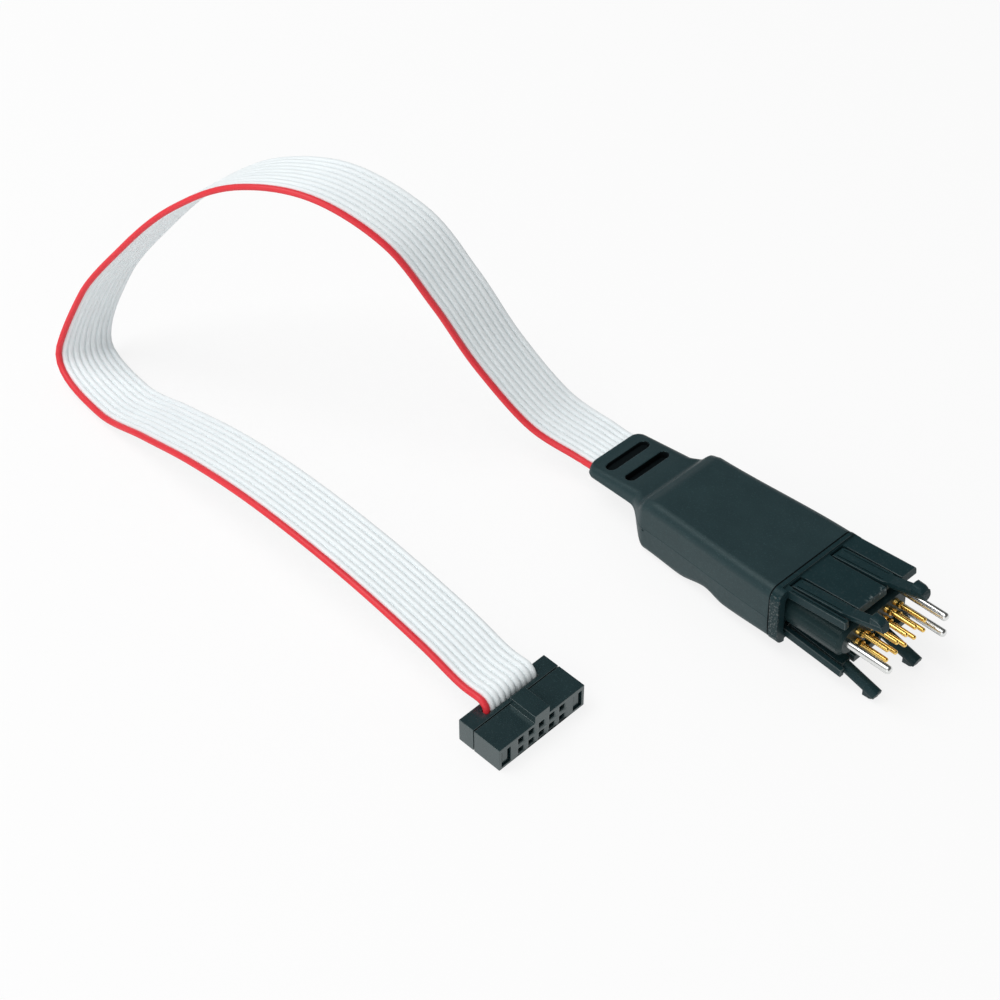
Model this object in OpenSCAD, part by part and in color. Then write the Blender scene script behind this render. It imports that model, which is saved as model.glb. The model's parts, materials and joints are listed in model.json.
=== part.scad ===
// Spring-pin programming cable: a legged plug, a flat ribbon and a two-row ribbon socket.
// Millimetres. The plug lies nose up on its lower legs and its belly, with the floor at z = 0.
// Inside the plug's modules, x runs out of the nose from the seam between boot and shell,
// y runs to the far side from the boot's middle, and z runs up from the middle of the pin grid.

/* [Spring pins] */
// Pitch of the pin grid, along the rows and between them
pin_pitch = 1.27; // [1.2:0.01:1.4]
// Distance of the pin grid's middle from the boot's middle, to the far side
pin_shift = 0.5; // [0.3:0.05:0.7]
// Diameter of a plunger's stem
plunger_d = 0.44; // [0.36:0.01:0.5]
// Step between a plunger's stem and its head
plunger_step = 0.03; // [0.025:0.005:0.04]
// Radial running clearance of a plunger in its barrel
plunger_gap = 0.02; // [0.015:0.005:0.03]
// Length of a plunger's head inside its barrel
plunger_head = 0.8; // [0.6:0.05:1]
// Length of plunger that stands out of its barrel
plunger_reach = 2.75; // [2.6:0.05:3]
// Wall of a barrel
barrel_wall = 0.07; // [0.06:0.005:0.09]
// Length of barrel that stands out of the pin block
barrel_reach = 0.7; // [0.6:0.05:0.9]
// Length of barrel that stands out of the back of the pin block
barrel_tail = 3; // [2.6:0.1:3.4]
// Length of the rolled lip that keeps a plunger in
lip_len = 0.25; // [0.2:0.01:0.3]
// Length of a coil spring at rest
spring_len = 5; // [4.5:0.1:5.4]
// Wire diameter of a coil spring
spring_wire = 0.06; // [0.05:0.005:0.07]

/* [Alignment pins] */
// Diameter of an alignment pin
align_d = 0.8; // [0.7:0.02:0.9]
// Distance along the rows between the single pin and the pair
align_span = 7.62; // [7.4:0.02:8]
// Distance between the two pins of the pair
align_pair = 2.032; // [1.9:0.02:2.1]
// Length that stands out of the pin block
align_reach = 4.8; // [4.6:0.1:5.2]
// Length of the rounded tip
align_tip = 0.5; // [0.3:0.05:0.7]
// Diameter of the tang that holds an alignment pin in the block
tang_d = 0.4; // [0.36:0.01:0.46]
// Length of the tang
tang_len = 4; // [3:0.1:5]

/* [Pin block] */
// Half the height of the block, and the radius of its round side
block_r = 1.7; // [1.65:0.01:1.9]
// Wall of the round side beyond the single alignment pin
block_near_wall = 0.89; // [0.8:0.01:1]
// Wall of the far side beyond the pair of alignment pins
block_far_wall = 0.24; // [0.2:0.01:0.3]
// Corner radius of the far side
block_corner = 0.6; // [0.5:0.02:0.7]
// Distance of the block's front face from the seam
block_face = 7.2; // [7:0.05:7.4]
// Bevel round the front face
block_bevel = 0.4; // [0.3:0.02:0.45]
// Thickness of the flange behind the shell
flange_t = 1.2; // [1:0.05:1.4]
// How far the flange stands out round the block
flange_lip = 0.35; // [0.3:0.01:0.4]
// Radial clearance of pressed pins and of seated mouldings
seat_gap = 0.01; // [0.01:0.005:0.02]

/* [Front shell] */
// Wall beside the block's flange on the far side
shell_side = 0.4; // [0.35:0.01:0.6]
// Step from the collar's top down to the panels
step_above = 0.25; // [0.15:0.01:0.4]
// Step from the collar's underside up to the panels
step_below = 0.35; // [0.2:0.01:0.5]
// Radius of the long edges
edge_r = 1.05; // [0.9:0.05:1.2]
// Thickness of the collar
collar_t = 1.1; // [1.05:0.01:1.2]
// Thickness of the web across the collar
web_t = 0.4; // [0.35:0.01:0.5]
// Wall of the collar round its recess
collar_wall = 0.9; // [0.8:0.01:0.95]
// Width of the band behind the step down to the panels
band_w = 0.5; // [0.42:0.01:0.55]
// Front edge of the middle panels, from the seam
panel_front = 7.2; // [7:0.05:7.4]
// How far the far panels reach beyond the middle ones
far_panel_extra = 0.2; // [0:0.05:0.4]
// Distance of the far panels' edge from the shell's far side
far_panel_inset = 0.2; // [0.15:0.01:0.3]
// Edge radius of the far panels
far_panel_r = 0.35; // [0.25:0.01:0.38]
// How far the rails beside the near legs reach beyond the middle panels
rail_extra = 0.3; // [0.1:0.05:0.5]
// Width of the rails
rail_w = 0.55; // [0.5:0.01:0.7]
// Outward lean of panels and rails, in degrees
panel_flare = 5; // [4.6:0.1:5.4]

/* [Snap legs] */
// Distance of the near legs from the pin grid's middle, along the rows
leg_near = 3.5; // [3.4:0.01:3.6]
// Distance of the far legs from the pin grid's middle, along the rows
leg_far = 2.05; // [1.95:0.005:2.15]
// Width of a near strip
strip_near_w = 1.25; // [1.2:0.01:1.35]
// Width of a far strip
strip_far_w = 1.45; // [1.3:0.01:1.55]
// Thickness of strips and panels
strip_t = 0.85; // [0.8:0.01:0.95]
// Room between the block and the strips
leg_room = 0.3; // [0.28:0.01:0.4]
// Width of the slits beside the strips
slit = 0.22; // [0.18:0.01:0.26]
// Clearance of a strip's round root in its notch
root_gap = 0.05; // [0.04:0.005:0.06]
// Outward lean of a strip, in degrees
strip_splay = 6.5; // [6:0.1:7]
// Distance of a finger's start from the strip's root
finger_from = 5.9; // [5.7:0.05:6.1]
// Length over which a strip narrows to its finger
finger_neck = 0.5; // [0.4:0.05:0.7]
// Outward lean of a finger, in degrees
finger_splay = 15; // [14:0.5:16]
// Width of a finger, flat outside and round inside
finger_w = 1.1; // [1:0.02:1.16]
// Length of a finger from its start
finger_len = 3.95; // [3.8:0.05:4.1]
// How far the hooked head stands out of the finger's flat side
hook_h = 0.75; // [0.65:0.01:0.85]
// Length of the hooked head along the finger
hook_len = 1.15; // [1.05:0.05:1.25]
// Length of the hooked head's outer land
hook_land = 0.5; // [0.4:0.05:0.6]
// Fall of the land towards the head's nose
hook_draft = 0.16; // [0.14:0.01:0.2]
// Length of the ramp behind the hooked head
hook_ramp = 0.2; // [0.1:0.02:0.3]
// Width of the hooked head
hook_w = 1; // [0.9:0.02:1]

/* [Boot] */
// Length of the grip, from the seam to the top's rear edge
grip_len = 16.2; // [15.5:0.1:17.5]
// Length of the shoulder that runs down to the tail
shoulder_len = 2.6; // [2.2:0.1:3]
// Length of the strain-relief tail
tail_len = 6.1; // [5.8:0.1:6.6]
// How much narrower the grip is at its rear edge than at the seam
grip_taper = 1.2; // [0.8:0.05:1.4]
// Distance behind the seam where the top starts to round off
crown_at = 14.4; // [13.6:0.1:15]
// Fall of the top as far as there
crown_fall = 0.3; // [0.2:0.01:0.4]
// Fall of the top at its rear edge
rear_fall = 0.6; // [0.45:0.01:0.8]
// Distance of the front swelling behind the seam
front_swell_at = 5.7; // [5:0.1:6.2]
// How far the front swelling stands out below the collar
front_swell = 0.25; // [0.1:0.01:0.3]
// Distance of the waist behind the seam
waist_at = 8; // [7.5:0.1:8.5]
// How far the waist draws in above the collar's underside
waist_draw = 0.25; // [0.15:0.01:0.35]
// Distance of the rear swelling behind the seam
rear_swell_at = 11.7; // [11:0.1:12.2]
// How far the rear swelling stands out below the collar
rear_swell = 0.55; // [0.45:0.01:0.65]
// How far the heel stands out below the collar
heel_drop = 0.35; // [0.25:0.01:0.45]
// Wall of the tail beside the ribbon
tail_side = 0.62; // [0.5:0.01:0.75]
// Wall of the tail above and below the ribbon
tail_wall = 0.37; // [0.33:0.01:0.45]
// Radius of the tail's end corners
tail_corner = 0.8; // [0.6:0.05:1]
// Width of a strain-relief slot
slot_w = 1.1; // [0.9:0.05:1.2]
// Length of a strain-relief slot between its end centres
slot_span = 4; // [3.5:0.1:4.2]
// Wall left under a strain-relief slot
slot_skin = 0.05; // [0.04:0.01:0.1]
// Distance between the two slots
slot_pitch = 2.6; // [2.2:0.05:2.8]
// Distance of the rear slot from the tail's end
slot_inset = 1.9; // [1.7:0.05:2.1]

/* [Board and ribbon] */
// Thickness of the adapter board
board_t = 0.4; // [0.36:0.01:0.42]
// Width of the adapter board
board_w = 8; // [7.6:0.05:8.2]
// Distance between the board and the block's flange
board_gap = 1; // [0.8:0.05:1.2]
// Distance between the board and the grip's rear edge
board_setback = 4.2; // [3.8:0.1:4.6]
// Room beside the board
board_room = 0.35; // [0.25:0.01:0.4]
// Solder between the lower barrels and the board
solder_gap = 0.04; // [0.03:0.005:0.06]
// Width of solder on each side of a barrel or a wire
solder_w = 0.1; // [0.06:0.01:0.12]
// Distance of the solder from the ends of barrels and wires
solder_inset = 0.2; // [0.1:0.05:0.3]
// Diameter of a bare conductor
wire_d = 0.3; // [0.26:0.01:0.32]
// Length of conductor that lies on the board
wire_lap = 1.6; // [1.4:0.05:1.8]
// Distance between the ribbon's end and the board
ribbon_stop = 0.4; // [0.3:0.05:0.5]
// Pitch of the ribbon's wires
ribbon_pitch = 0.635; // [0.62:0.005:0.66]
// Thickness of the ribbon over a wire
ribbon_t = 0.6; // [0.56:0.01:0.62]
// Thickness of the web between the wires
ribbon_web = 0.26; // [0.2:0.01:0.32]
// Clearance of the ribbon in the tail and in the socket's slot
ribbon_gap = 0.03; // [0.02:0.005:0.04]

/* [Socket] */
// Depth of the body, from its front face
body_depth = 3.1; // [3:0.02:3.3]
// Width of a square hole
hole_w = 0.62; // [0.56:0.01:0.66]
// Depth of the square holes
hole_depth = 2.4; // [2.2:0.05:2.6]
// Bevel round a hole's mouth
mouth_bevel = 0.12; // [0.08:0.01:0.14]
// Width of a contact's pocket behind its hole
pocket_w = 0.9; // [0.86:0.01:1]
// Floor below the lower mouths
floor_wall = 0.14; // [0.1:0.01:0.2]
// Roof above the upper mouths
roof_wall = 0.38; // [0.3:0.01:0.5]
// Rib between the last pocket and a latch window
end_rib = 0.86; // [0.7:0.02:1]
// Width of a latch window
window_w = 1.1; // [1:0.02:1.2]
// Height of a latch window
window_h = 1.9; // [1.7:0.02:2]
// Wall outside a latch window
end_wall = 0.3; // [0.25:0.01:0.4]
// Clearance of a latch arm above it and below it
arm_gap = 0.05; // [0.04:0.005:0.08]
// Play of a latch arm on each side
arm_play = 0.2; // [0.15:0.01:0.25]
// How far a latch arm stops behind the front face
arm_inset = 0.2; // [0.1:0.01:0.3]
// Width of the key
key_w = 1.8; // [1.6:0.05:2]
// Height of the key
key_h = 0.85; // [0.7:0.05:1]
// Gap between body and cover
cover_gap = 0.1; // [0.06:0.01:0.14]
// Thickness of the cover's bar in front of the ribbon
cover_bar = 0.45; // [0.4:0.01:0.5]
// Thickness of the cover's wall behind the ribbon
cover_wall = 0.65; // [0.55:0.01:0.75]
// Floor of the cover's slot
cover_floor = 0.3; // [0.25:0.01:0.32]
// Thickness of a contact's sheet metal
leaf_t = 0.1; // [0.08:0.01:0.12]
// Clearance of a contact's leaf beside it in its hole
leaf_gap = 0.07; // [0.05:0.01:0.09]
// How far the leaves stop behind the front face
leaf_inset = 0.5; // [0.4:0.02:0.6]
// Thickness of a contact's piercing blade
blade_t = 0.15; // [0.12:0.01:0.16]
// Clearance of a piercing blade, all round
blade_gap = 0.02; // [0.01:0.005:0.03]
// Radius of the ribbon's bend above the cover
bend_r = 0.9; // [0.8:0.02:1]

/* [Hidden] */
$fn = 32;
columns = 5;
rows = 2;
ways = columns * rows;
eps = 0.01;
plastic = "#26343a";
block_plastic = "#2b383d";
gold = "#d9ac3c";
steel = "#d9dcda";
copper = "#c98b5a";
ribbon_grey = "#e8eff2";

// Spring pin, measured back from the barrel's mouth
stem_r = plunger_d / 2;
head_r = stem_r + plunger_step;
bore_r = head_r + plunger_gap;
lip_r = stem_r + plunger_gap;
barrel_r = bore_r + barrel_wall;
head_front = lip_len + plunger_gap;
head_back = head_front + plunger_head;
bore_depth = head_back + spring_len;
mouth_x = block_face + barrel_reach;
barrel_len = mouth_x + flange_t + barrel_tail;
coil_r = bore_r - plunger_gap - spring_wire / 2;
coils = 10;
coil_steps = 7;

// Pin block, across the plug
align_r = align_d / 2;
tang_r = tang_d / 2;
block_near = pin_shift - align_span / 2 - align_r - block_near_wall;
block_far = pin_shift + align_span / 2 + align_r + block_far_wall;

// Strips, panels and shell
root_r = strip_t / 2;
strip_z = block_r + leg_room + root_r;
strip_outer = strip_z + root_r;
near_strip = [pin_shift - leg_near - strip_near_w / 2, pin_shift - leg_near + strip_near_w / 2];
far_strip = [pin_shift + leg_far - strip_far_w / 2, pin_shift + leg_far + strip_far_w / 2];
half_w = block_far + flange_lip + shell_side;
shell_top = strip_outer + step_above;
shell_bottom = strip_outer + step_below;

// Snap leg, measured from the middle of the strip's root
root_x = collar_t - root_gap;
finger_lap = 0.15;
hook_nose = 0.25;
round_steps = 8;
finger_start = [finger_from * cos(strip_splay), finger_from * sin(strip_splay)];
hook_at = finger_len - hook_len;
hook_r = root_r + hook_h;
hook_tip = [
    root_x + finger_start[0] + hook_at * cos(finger_splay) - hook_r * sin(finger_splay),
    strip_z + finger_start[1] + hook_at * sin(finger_splay) + hook_r * cos(finger_splay)
];

// Board and ribbon inside the boot, behind the seam
board_front = flange_t + board_gap;
board_rear = grip_len - board_setback;
board_bottom = -pin_pitch / 2 + barrel_r + solder_gap;
board_top = board_bottom + board_t;
board_middle = pin_shift / 2;
ribbon_z = board_top + wire_d / 2;
ribbon_w = (ways - 1) * ribbon_pitch + ribbon_t;
ribbon_from = board_rear + ribbon_stop;
hollow_len = ribbon_from + 0.6;
hollow_w = board_w + pin_shift + 2 * board_room;

// Boot sections: each key is [distance behind the seam, value], eased between keys
tail_t = ribbon_t + 2 * ribbon_gap + 2 * tail_wall;
tail_w = ribbon_w + 2 * ribbon_gap + 2 * tail_side;
tail_from = grip_len + shoulder_len;
boot_len = tail_from + tail_len;
top_keys = [[0, shell_top], [crown_at, shell_top - crown_fall], [grip_len, shell_top - rear_fall],
    [tail_from, ribbon_z + tail_t / 2]];
depth_keys = [[0, shell_bottom], [front_swell_at, shell_bottom + front_swell],
    [waist_at, shell_bottom - waist_draw], [rear_swell_at, shell_bottom + rear_swell],
    [grip_len, shell_bottom + heel_drop], [tail_from, tail_t / 2 - ribbon_z]];
width_keys = [[0, half_w], [grip_len, half_w - grip_taper / 2], [tail_from, tail_w / 2]];
grip_steps = 16;
shoulder_steps = 6;
corner_steps = 4;
stations = concat(
    [for (k = [0:grip_steps]) grip_len * k / grip_steps],
    [for (k = [1:shoulder_steps]) grip_len + shoulder_len * k / shoulder_steps],
    [for (k = [0:corner_steps]) boot_len - tail_corner * (1 - sin(90 * k / corner_steps))]
);
function ease(t) = t * t * (3 - 2 * t);
function between(a, b, s) = a[1] + (b[1] - a[1]) * ease((s - a[0]) / (b[0] - a[0]));
function eased(keys, s) =
    let (i = len([for (k = keys) if (k[0] <= s) k]) - 1)
    i >= len(keys) - 1 ? keys[len(keys) - 1][1] : between(keys[i], keys[i + 1], s);
function corner_cut(s) =
    let (d = max(0, s - boot_len + tail_corner)) tail_corner - sqrt(tail_corner ^ 2 - d ^ 2);

// How the plug lies: it touches the floor with its lower hooks and with its rear swelling
function tilt_on(s) = atan((hook_tip[1] - eased(depth_keys, s)) / (hook_tip[0] + s));
function lowest_station(tilt) =
    let (heights = [for (s = stations) -s * sin(tilt) - eased(depth_keys, s) * cos(tilt)])
    stations[search(min(heights), heights)[0]];
rest_tilt = tilt_on(lowest_station(tilt_on(rear_swell_at)));
nose_x = (block_face + align_reach) * cos(rest_tilt) + align_pair / 2 * sin(rest_tilt);
tail_x = -boot_len * cos(rest_tilt) - (ribbon_z + tail_t / 2) * sin(rest_tilt);
plug_x = -(nose_x + tail_x) / 2;
plug_z = hook_tip[1] * cos(rest_tilt) - hook_tip[0] * sin(rest_tilt);
function in_row(p) = [
    plug_x + p[0] * cos(rest_tilt) - p[2] * sin(rest_tilt),
    p[1],
    plug_z + p[0] * sin(rest_tilt) + p[2] * cos(rest_tilt)
];

// Socket, measured back from its front face and up from the floor
socket_at = [0.1, -27.4];
socket_yaw = 1.7;
mouth_w = hole_w + 2 * mouth_bevel;
low_row_z = floor_wall + mouth_w / 2;
rows_z = low_row_z + pin_pitch / 2;
socket_h = low_row_z + pin_pitch + mouth_w / 2 + roof_wall;
window_y = (columns - 1) / 2 * pin_pitch + pocket_w / 2 + end_rib + window_w / 2;
socket_w = 2 * (window_y + window_w / 2 + end_wall);
arm_w = window_w - 2 * arm_play;
cover_front = body_depth + cover_gap;
slot_t = ribbon_t + 2 * ribbon_gap;
slot_x = -cover_front - cover_bar - slot_t / 2;
cover_back = cover_front + cover_bar + slot_t + cover_wall;
blade_h = hole_w - 4 * blade_gap;
bend_z = socket_h + eps;
function from_socket(p) = [
    socket_at[0] + p[0] * cos(socket_yaw) - p[1] * sin(socket_yaw),
    socket_at[1] + p[0] * sin(socket_yaw) + p[1] * cos(socket_yaw),
    p[2]
];

// Free ribbon: it leaves the tail, stands up in a loop and comes down to the socket
tail_exit = in_row([-boot_len, 0, ribbon_z]);
tail_heading = [-cos(rest_tilt), 0, -sin(rest_tilt)];
socket_exit = from_socket([slot_x - bend_r, 0, bend_z + bend_r]);
socket_heading = [cos(socket_yaw), sin(socket_yaw), 0];
lead = 2.5;
route = concat([tail_exit, tail_exit + lead * tail_heading], [
    [-26, -1.5, 5], [-31, -3.5, 10.5], [-34.5, -5.7, 17.3], [-38.5, -8.1, 23.5], [-45.3, -11.1, 26.5],
    [-52.4, -14.5, 25.4], [-58.3, -17.9, 21.2], [-62.8, -21.3, 15.5], [-66.3, -24.5, 9.2],
    [-67, -27.5, 2], [-59.5, -28.5, 0.8], [-51.7, -28.6, 3], [-44, -28.6, 5.1], [-36, -28.5, 6.3],
    [-28, -28.3, 6.5], [-20, -28, 5.9], [-12, -27.75, 4.7]
], [socket_exit - lead * socket_heading, socket_exit]);
route_steps = 4;

// Places of the ways: along the upper row first, then along the lower one
function column_y(c) = (c - (columns - 1) / 2) * pin_pitch;
function way_y(i) = pin_shift + column_y((i - 1) % columns);
function way_z(i) = i <= columns ? pin_pitch / 2 : -pin_pitch / 2;
function wire_y(k) = (k - (ways - 1) / 2) * ribbon_pitch;
align_places = [
    [pin_shift - align_span / 2, 0],
    [pin_shift + align_span / 2, align_pair / 2],
    [pin_shift + align_span / 2, -align_pair / 2]
];

// Shared shapes
module in_plug() {
    translate([plug_x, 0, plug_z]) rotate([0, -rest_tilt, 0]) children();
}

module in_socket() {
    translate([socket_at[0], socket_at[1], 0]) rotate([0, 0, socket_yaw]) children();
}

// Draws a (y, z) outline along x
module along_x(from, to) {
    translate([from, 0, 0]) rotate([90, 0, 90]) linear_extrude(to - from) children();
}

// Turns a (radius, x) outline round a line along x
module turned(place) {
    translate(place) rotate([0, 90, 0]) rotate_extrude($fn = 24) children();
}

module box(from, to) {
    translate(from) cube(to - from);
}

// Rounded rectangle between two corners
module rounded(from, to, r) {
    size = to - from;
    translate(from + [0, r]) square(size - [0, 2 * r]);
    translate(from + [r, 0]) square(size - [2 * r, 0]);
    for (y = [from[0] + r, to[0] - r], z = [from[1] + r, to[1] - r]) translate([y, z]) circle(r);
}

// Closed skin over rings that all have the same number of points
module skin(rings) {
    n = len(rings[0]);
    m = len(rings);
    sides = [for (j = [0:m - 2], i = [0:n - 1]) let (a = j * n, b = a + n, k = (i + 1) % n)
        each [[a + i, a + k, b + k], [a + i, b + k, b + i]]];
    first = [for (i = [n - 1:-1:0]) i];
    last = [for (i = [0:n - 1]) (m - 1) * n + i];
    polyhedron([for (r = rings, p = r) p], concat([first], sides, [last]));
}

module ribbon_outline() {
    for (k = [0:ways - 1]) translate([wire_y(k), 0]) circle(ribbon_t / 2, $fn = 20);
    square([(ways - 1) * ribbon_pitch, ribbon_web], center = true);
}

module block_outline(grow = 0) {
    near = block_near + block_r;
    far = block_far - block_corner;
    corner_z = block_r - block_corner;
    translate([near, 0]) circle(block_r + grow);
    translate([near, -block_r - grow]) square([far - near, 2 * (block_r + grow)]);
    translate([far, -corner_z]) square([block_corner + grow, 2 * corner_z]);
    for (z = [-corner_z, corner_z]) translate([far, z]) circle(block_corner + grow);
}

module shell_outline() {
    rounded([-half_w, -shell_bottom], [half_w, shell_top], edge_r);
}

// Boot: one loft from the seam to the tail's end
function boot_ring(s) =
    let (
        a = eased(width_keys, s) - corner_cut(s),
        t = eased(top_keys, s),
        b = -eased(depth_keys, s),
        r = min(edge_r, (t - b) * 0.45),
        middles = [[a - r, t - r, 0], [r - a, t - r, 90], [r - a, b + r, 180], [a - r, b + r, 270]]
    )
    [for (m = middles, k = [0:corner_steps]) let (q = m[2] + 90 * k / corner_steps)
        [-s, m[0] + r * cos(q), m[1] + r * sin(q)]];

module strain_slot(x) {
    translate([x, 0, ribbon_z + tail_t / 2 - tail_wall + slot_skin]) {
        translate([-slot_w / 2, -slot_span / 2, 0]) cube([slot_w, slot_span, tail_wall]);
        for (y = [-1, 1]) translate([0, y * slot_span / 2, 0]) cylinder(d = slot_w, h = tail_wall);
    }
}

module overmould_boot() {
    passage_w = ribbon_w + 2 * ribbon_gap;
    color(plastic) in_plug() difference() {
        skin([for (s = stations) boot_ring(s)]);
        along_x(-flange_t - seat_gap, 1) block_outline(flange_lip + seat_gap);
        box([-hollow_len, -hollow_w / 2, -block_r], [-flange_t, hollow_w / 2, block_r]);
        box([-boot_len - 1, -passage_w / 2, ribbon_z - slot_t / 2],
            [-ribbon_from, passage_w / 2, ribbon_z + slot_t / 2]);
        for (k = [0, 1]) strain_slot(-boot_len + slot_inset + k * slot_pitch);
    }
}

// Front shell: a recessed collar with fixed panels above and below the block
module recess_outline() {
    inset = [collar_wall, collar_wall];
    rounded([-half_w, -shell_bottom] + inset, [half_w, shell_top] - inset, edge_r / 2);
}

// Space for a strip's round root, open outwards and to the front
module root_notch(strip) {
    side = slit - root_gap;
    from = strip[0] - side;
    w = strip[1] - strip[0] + 2 * side;
    r = root_r + root_gap;
    translate([root_x, from, strip_z]) rotate([-90, 0, 0]) cylinder(r = r, h = w);
    translate([root_x - r, from, strip_z]) cube([collar_t, w, shell_bottom]);
    translate([root_x, from, strip_z - r]) cube([collar_t, w, shell_bottom]);
}

module above_and_below() {
    children();
    mirror([0, 0, 1]) children();
}

// Draws a panel's (y, z) outline along its flare, above and below the block
module flared(front) {
    above_and_below() translate([root_x, 0, strip_z]) rotate([0, -panel_flare, 0])
        along_x(web_t / 2 - root_x, front - root_x) children();
}

module panel(from, to, front) {
    flared(front) translate([from, -root_r]) square([to - from, strip_t]);
}

module far_panel(from, to, front) {
    middle = [to, root_r] - [far_panel_r, far_panel_r];
    arc = [for (k = [0:corner_steps]) 90 * k / corner_steps];
    flared(front) polygon(concat([[from, root_r], [from, -root_r], [to, -root_r]],
        [for (a = arc) middle + far_panel_r * [cos(a), sin(a)]]));
}

module front_shell() {
    rail = [near_strip[0] - slit - rail_w, near_strip[0] - slit];
    color(plastic) in_plug() {
        difference() {
            along_x(0, collar_t) shell_outline();
            along_x(-1, collar_t + 1) block_outline(seat_gap);
            along_x(web_t, collar_t + 1) recess_outline();
            above_and_below() {
                root_notch(near_strip);
                root_notch(far_strip);
                box([band_w, rail[0] - slit, strip_outer], [collar_t + 1, half_w + 1, shell_bottom + 1]);
            }
        }
        panel(rail[0], rail[1], panel_front + rail_extra);
        panel(near_strip[1] + slit, far_strip[0] - slit, panel_front);
        far_panel(far_strip[1] + slit, half_w - far_panel_inset, panel_front + far_panel_extra);
    }
}

// Pin block
module pin_block() {
    color(block_plastic) in_plug() difference() {
        union() {
            along_x(-flange_t, 0) block_outline(flange_lip);
            along_x(0, block_face - block_bevel) block_outline();
            hull() {
                along_x(block_face - block_bevel, block_face - block_bevel + eps) block_outline();
                along_x(block_face - eps, block_face) block_outline(-block_bevel);
            }
        }
        for (i = [1:ways]) translate([-flange_t - 1, way_y(i), way_z(i)]) rotate([0, 90, 0])
            cylinder(r = barrel_r + seat_gap, h = block_face + flange_t + 2);
        for (p = align_places) translate([block_face - tang_len - seat_gap, p[0], p[1]]) rotate([0, 90, 0])
            cylinder(r = tang_r + seat_gap, h = tang_len + 1);
    }
}

// Snap legs: a strip with a round root narrows to a finger with a hooked head
module strip_outline(strip, finger) {
    polygon([[0, strip[0]], [finger_from - finger_neck, strip[0]], [finger_from, finger[0]],
        [finger_from, finger[1]], [finger_from - finger_neck, strip[1]], [0, strip[1]]]);
}

// Section of a finger, as (y, z): flat outside and round inside
module finger_outline() {
    half = finger_w / 2;
    arc = [for (k = [0:round_steps]) 180 + 180 * k / round_steps];
    polygon(concat([[half, root_r], [-half, root_r]],
        [for (a = arc) half * [cos(a), 1 + sin(a)] - [0, root_r]]));
}

// Section of a hooked head, as (radius, x): a ramp, a land that falls a little and a round nose
module hook_outline() {
    from = hook_at - hook_ramp;
    land_to = hook_at + hook_land;
    land_r = hook_r - hook_draft;
    fall = land_r - hook_nose;
    rest = finger_len - land_to;
    nose = [for (k = [0:round_steps / 2]) 180 * k / round_steps];
    polygon(concat([[0, from], [root_r, from], [hook_r, hook_at]],
        [for (a = nose) [hook_nose + fall * cos(a), land_to + rest * sin(a)]], [[0, finger_len]]));
}

module leg(strip, y) {
    finger = [y - finger_w / 2, y + finger_w / 2];
    translate([root_x, 0, strip_z]) {
        translate([0, strip[0], 0]) rotate([-90, 0, 0]) cylinder(r = root_r, h = strip[1] - strip[0]);
        rotate([0, -strip_splay, 0]) translate([0, 0, -root_r]) linear_extrude(strip_t)
            strip_outline(strip, finger);
        translate([finger_start[0], y, finger_start[1]]) rotate([0, -finger_splay, 0]) {
            along_x(-finger_lap, finger_len) finger_outline();
            intersection() {
                turned([0, 0, 0]) hook_outline();
                box([0, -hook_w / 2, 0], [finger_len, hook_w / 2, 2 * hook_r]);
            }
        }
    }
}

module near_leg() {
    leg(near_strip, pin_shift - leg_near);
}

module far_leg() {
    leg(far_strip, pin_shift + leg_far);
}

module leg_near_upper() {
    color(plastic) in_plug() near_leg();
}

module leg_near_lower() {
    color(plastic) in_plug() mirror([0, 0, 1]) near_leg();
}

module leg_far_upper() {
    color(plastic) in_plug() far_leg();
}

module leg_far_lower() {
    color(plastic) in_plug() mirror([0, 0, 1]) far_leg();
}

// Pins
function round_tip(r, length, end, steps) =
    [for (k = [0:steps]) let (a = 90 * k / steps) [r * cos(a), end - length * (1 - sin(a))]];

module alignment_pin(place) {
    color(steel) in_plug() turned([block_face, place[0], place[1]])
        polygon(concat([[0, -tang_len], [tang_r, -tang_len], [tang_r, 0], [align_r, 0]],
            round_tip(align_r, align_tip, align_reach, 5)));
}

module alignment_pin_near() {
    alignment_pin(align_places[0]);
}

module alignment_pin_far_upper() {
    alignment_pin(align_places[1]);
}

module alignment_pin_far_lower() {
    alignment_pin(align_places[2]);
}

module at_way(i) {
    in_plug() translate([mouth_x, way_y(i), way_z(i)]) children();
}

module pin_barrels() {
    roll = barrel_wall / 2;
    color(gold) for (i = [1:ways]) at_way(i) turned([0, 0, 0])
        polygon([[0, -barrel_len], [barrel_r, -barrel_len], [barrel_r, -roll], [barrel_r - roll, 0],
            [lip_r, 0], [lip_r, -lip_len], [bore_r, -lip_len], [bore_r, -bore_depth], [0, -bore_depth]]);
}

module plunger(i) {
    color(gold) at_way(i) turned([0, 0, 0])
        polygon(concat([[0, -head_back], [head_r, -head_back], [head_r, -head_front], [stem_r, -head_front]],
            round_tip(stem_r, stem_r, plunger_reach, 4)));
}

// Coil spring between the barrel's closed end and the plunger's head
function coil_ring(k) =
    let (
        a = 360 * k / coil_steps,
        w = spring_wire / 2,
        rise = spring_len - 2 * (w + eps),
        x = -bore_depth + w + eps + rise * k / (coils * coil_steps)
    )
    [for (q = [[w, 0], [0, w], [-w, 0], [0, -w]])
        [x + q[1], (coil_r + q[0]) * cos(a), (coil_r + q[0]) * sin(a)]];

module spring(i) {
    color(steel) at_way(i) skin([for (k = [0:coils * coil_steps]) coil_ring(k)]);
}

// Board, solder and wires inside the boot
module adapter_board() {
    color("darkgreen") in_plug() translate([0, board_middle, 0])
        box([-board_rear, -board_w / 2, board_bottom], [-board_front, board_w / 2, board_top]);
}

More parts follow.
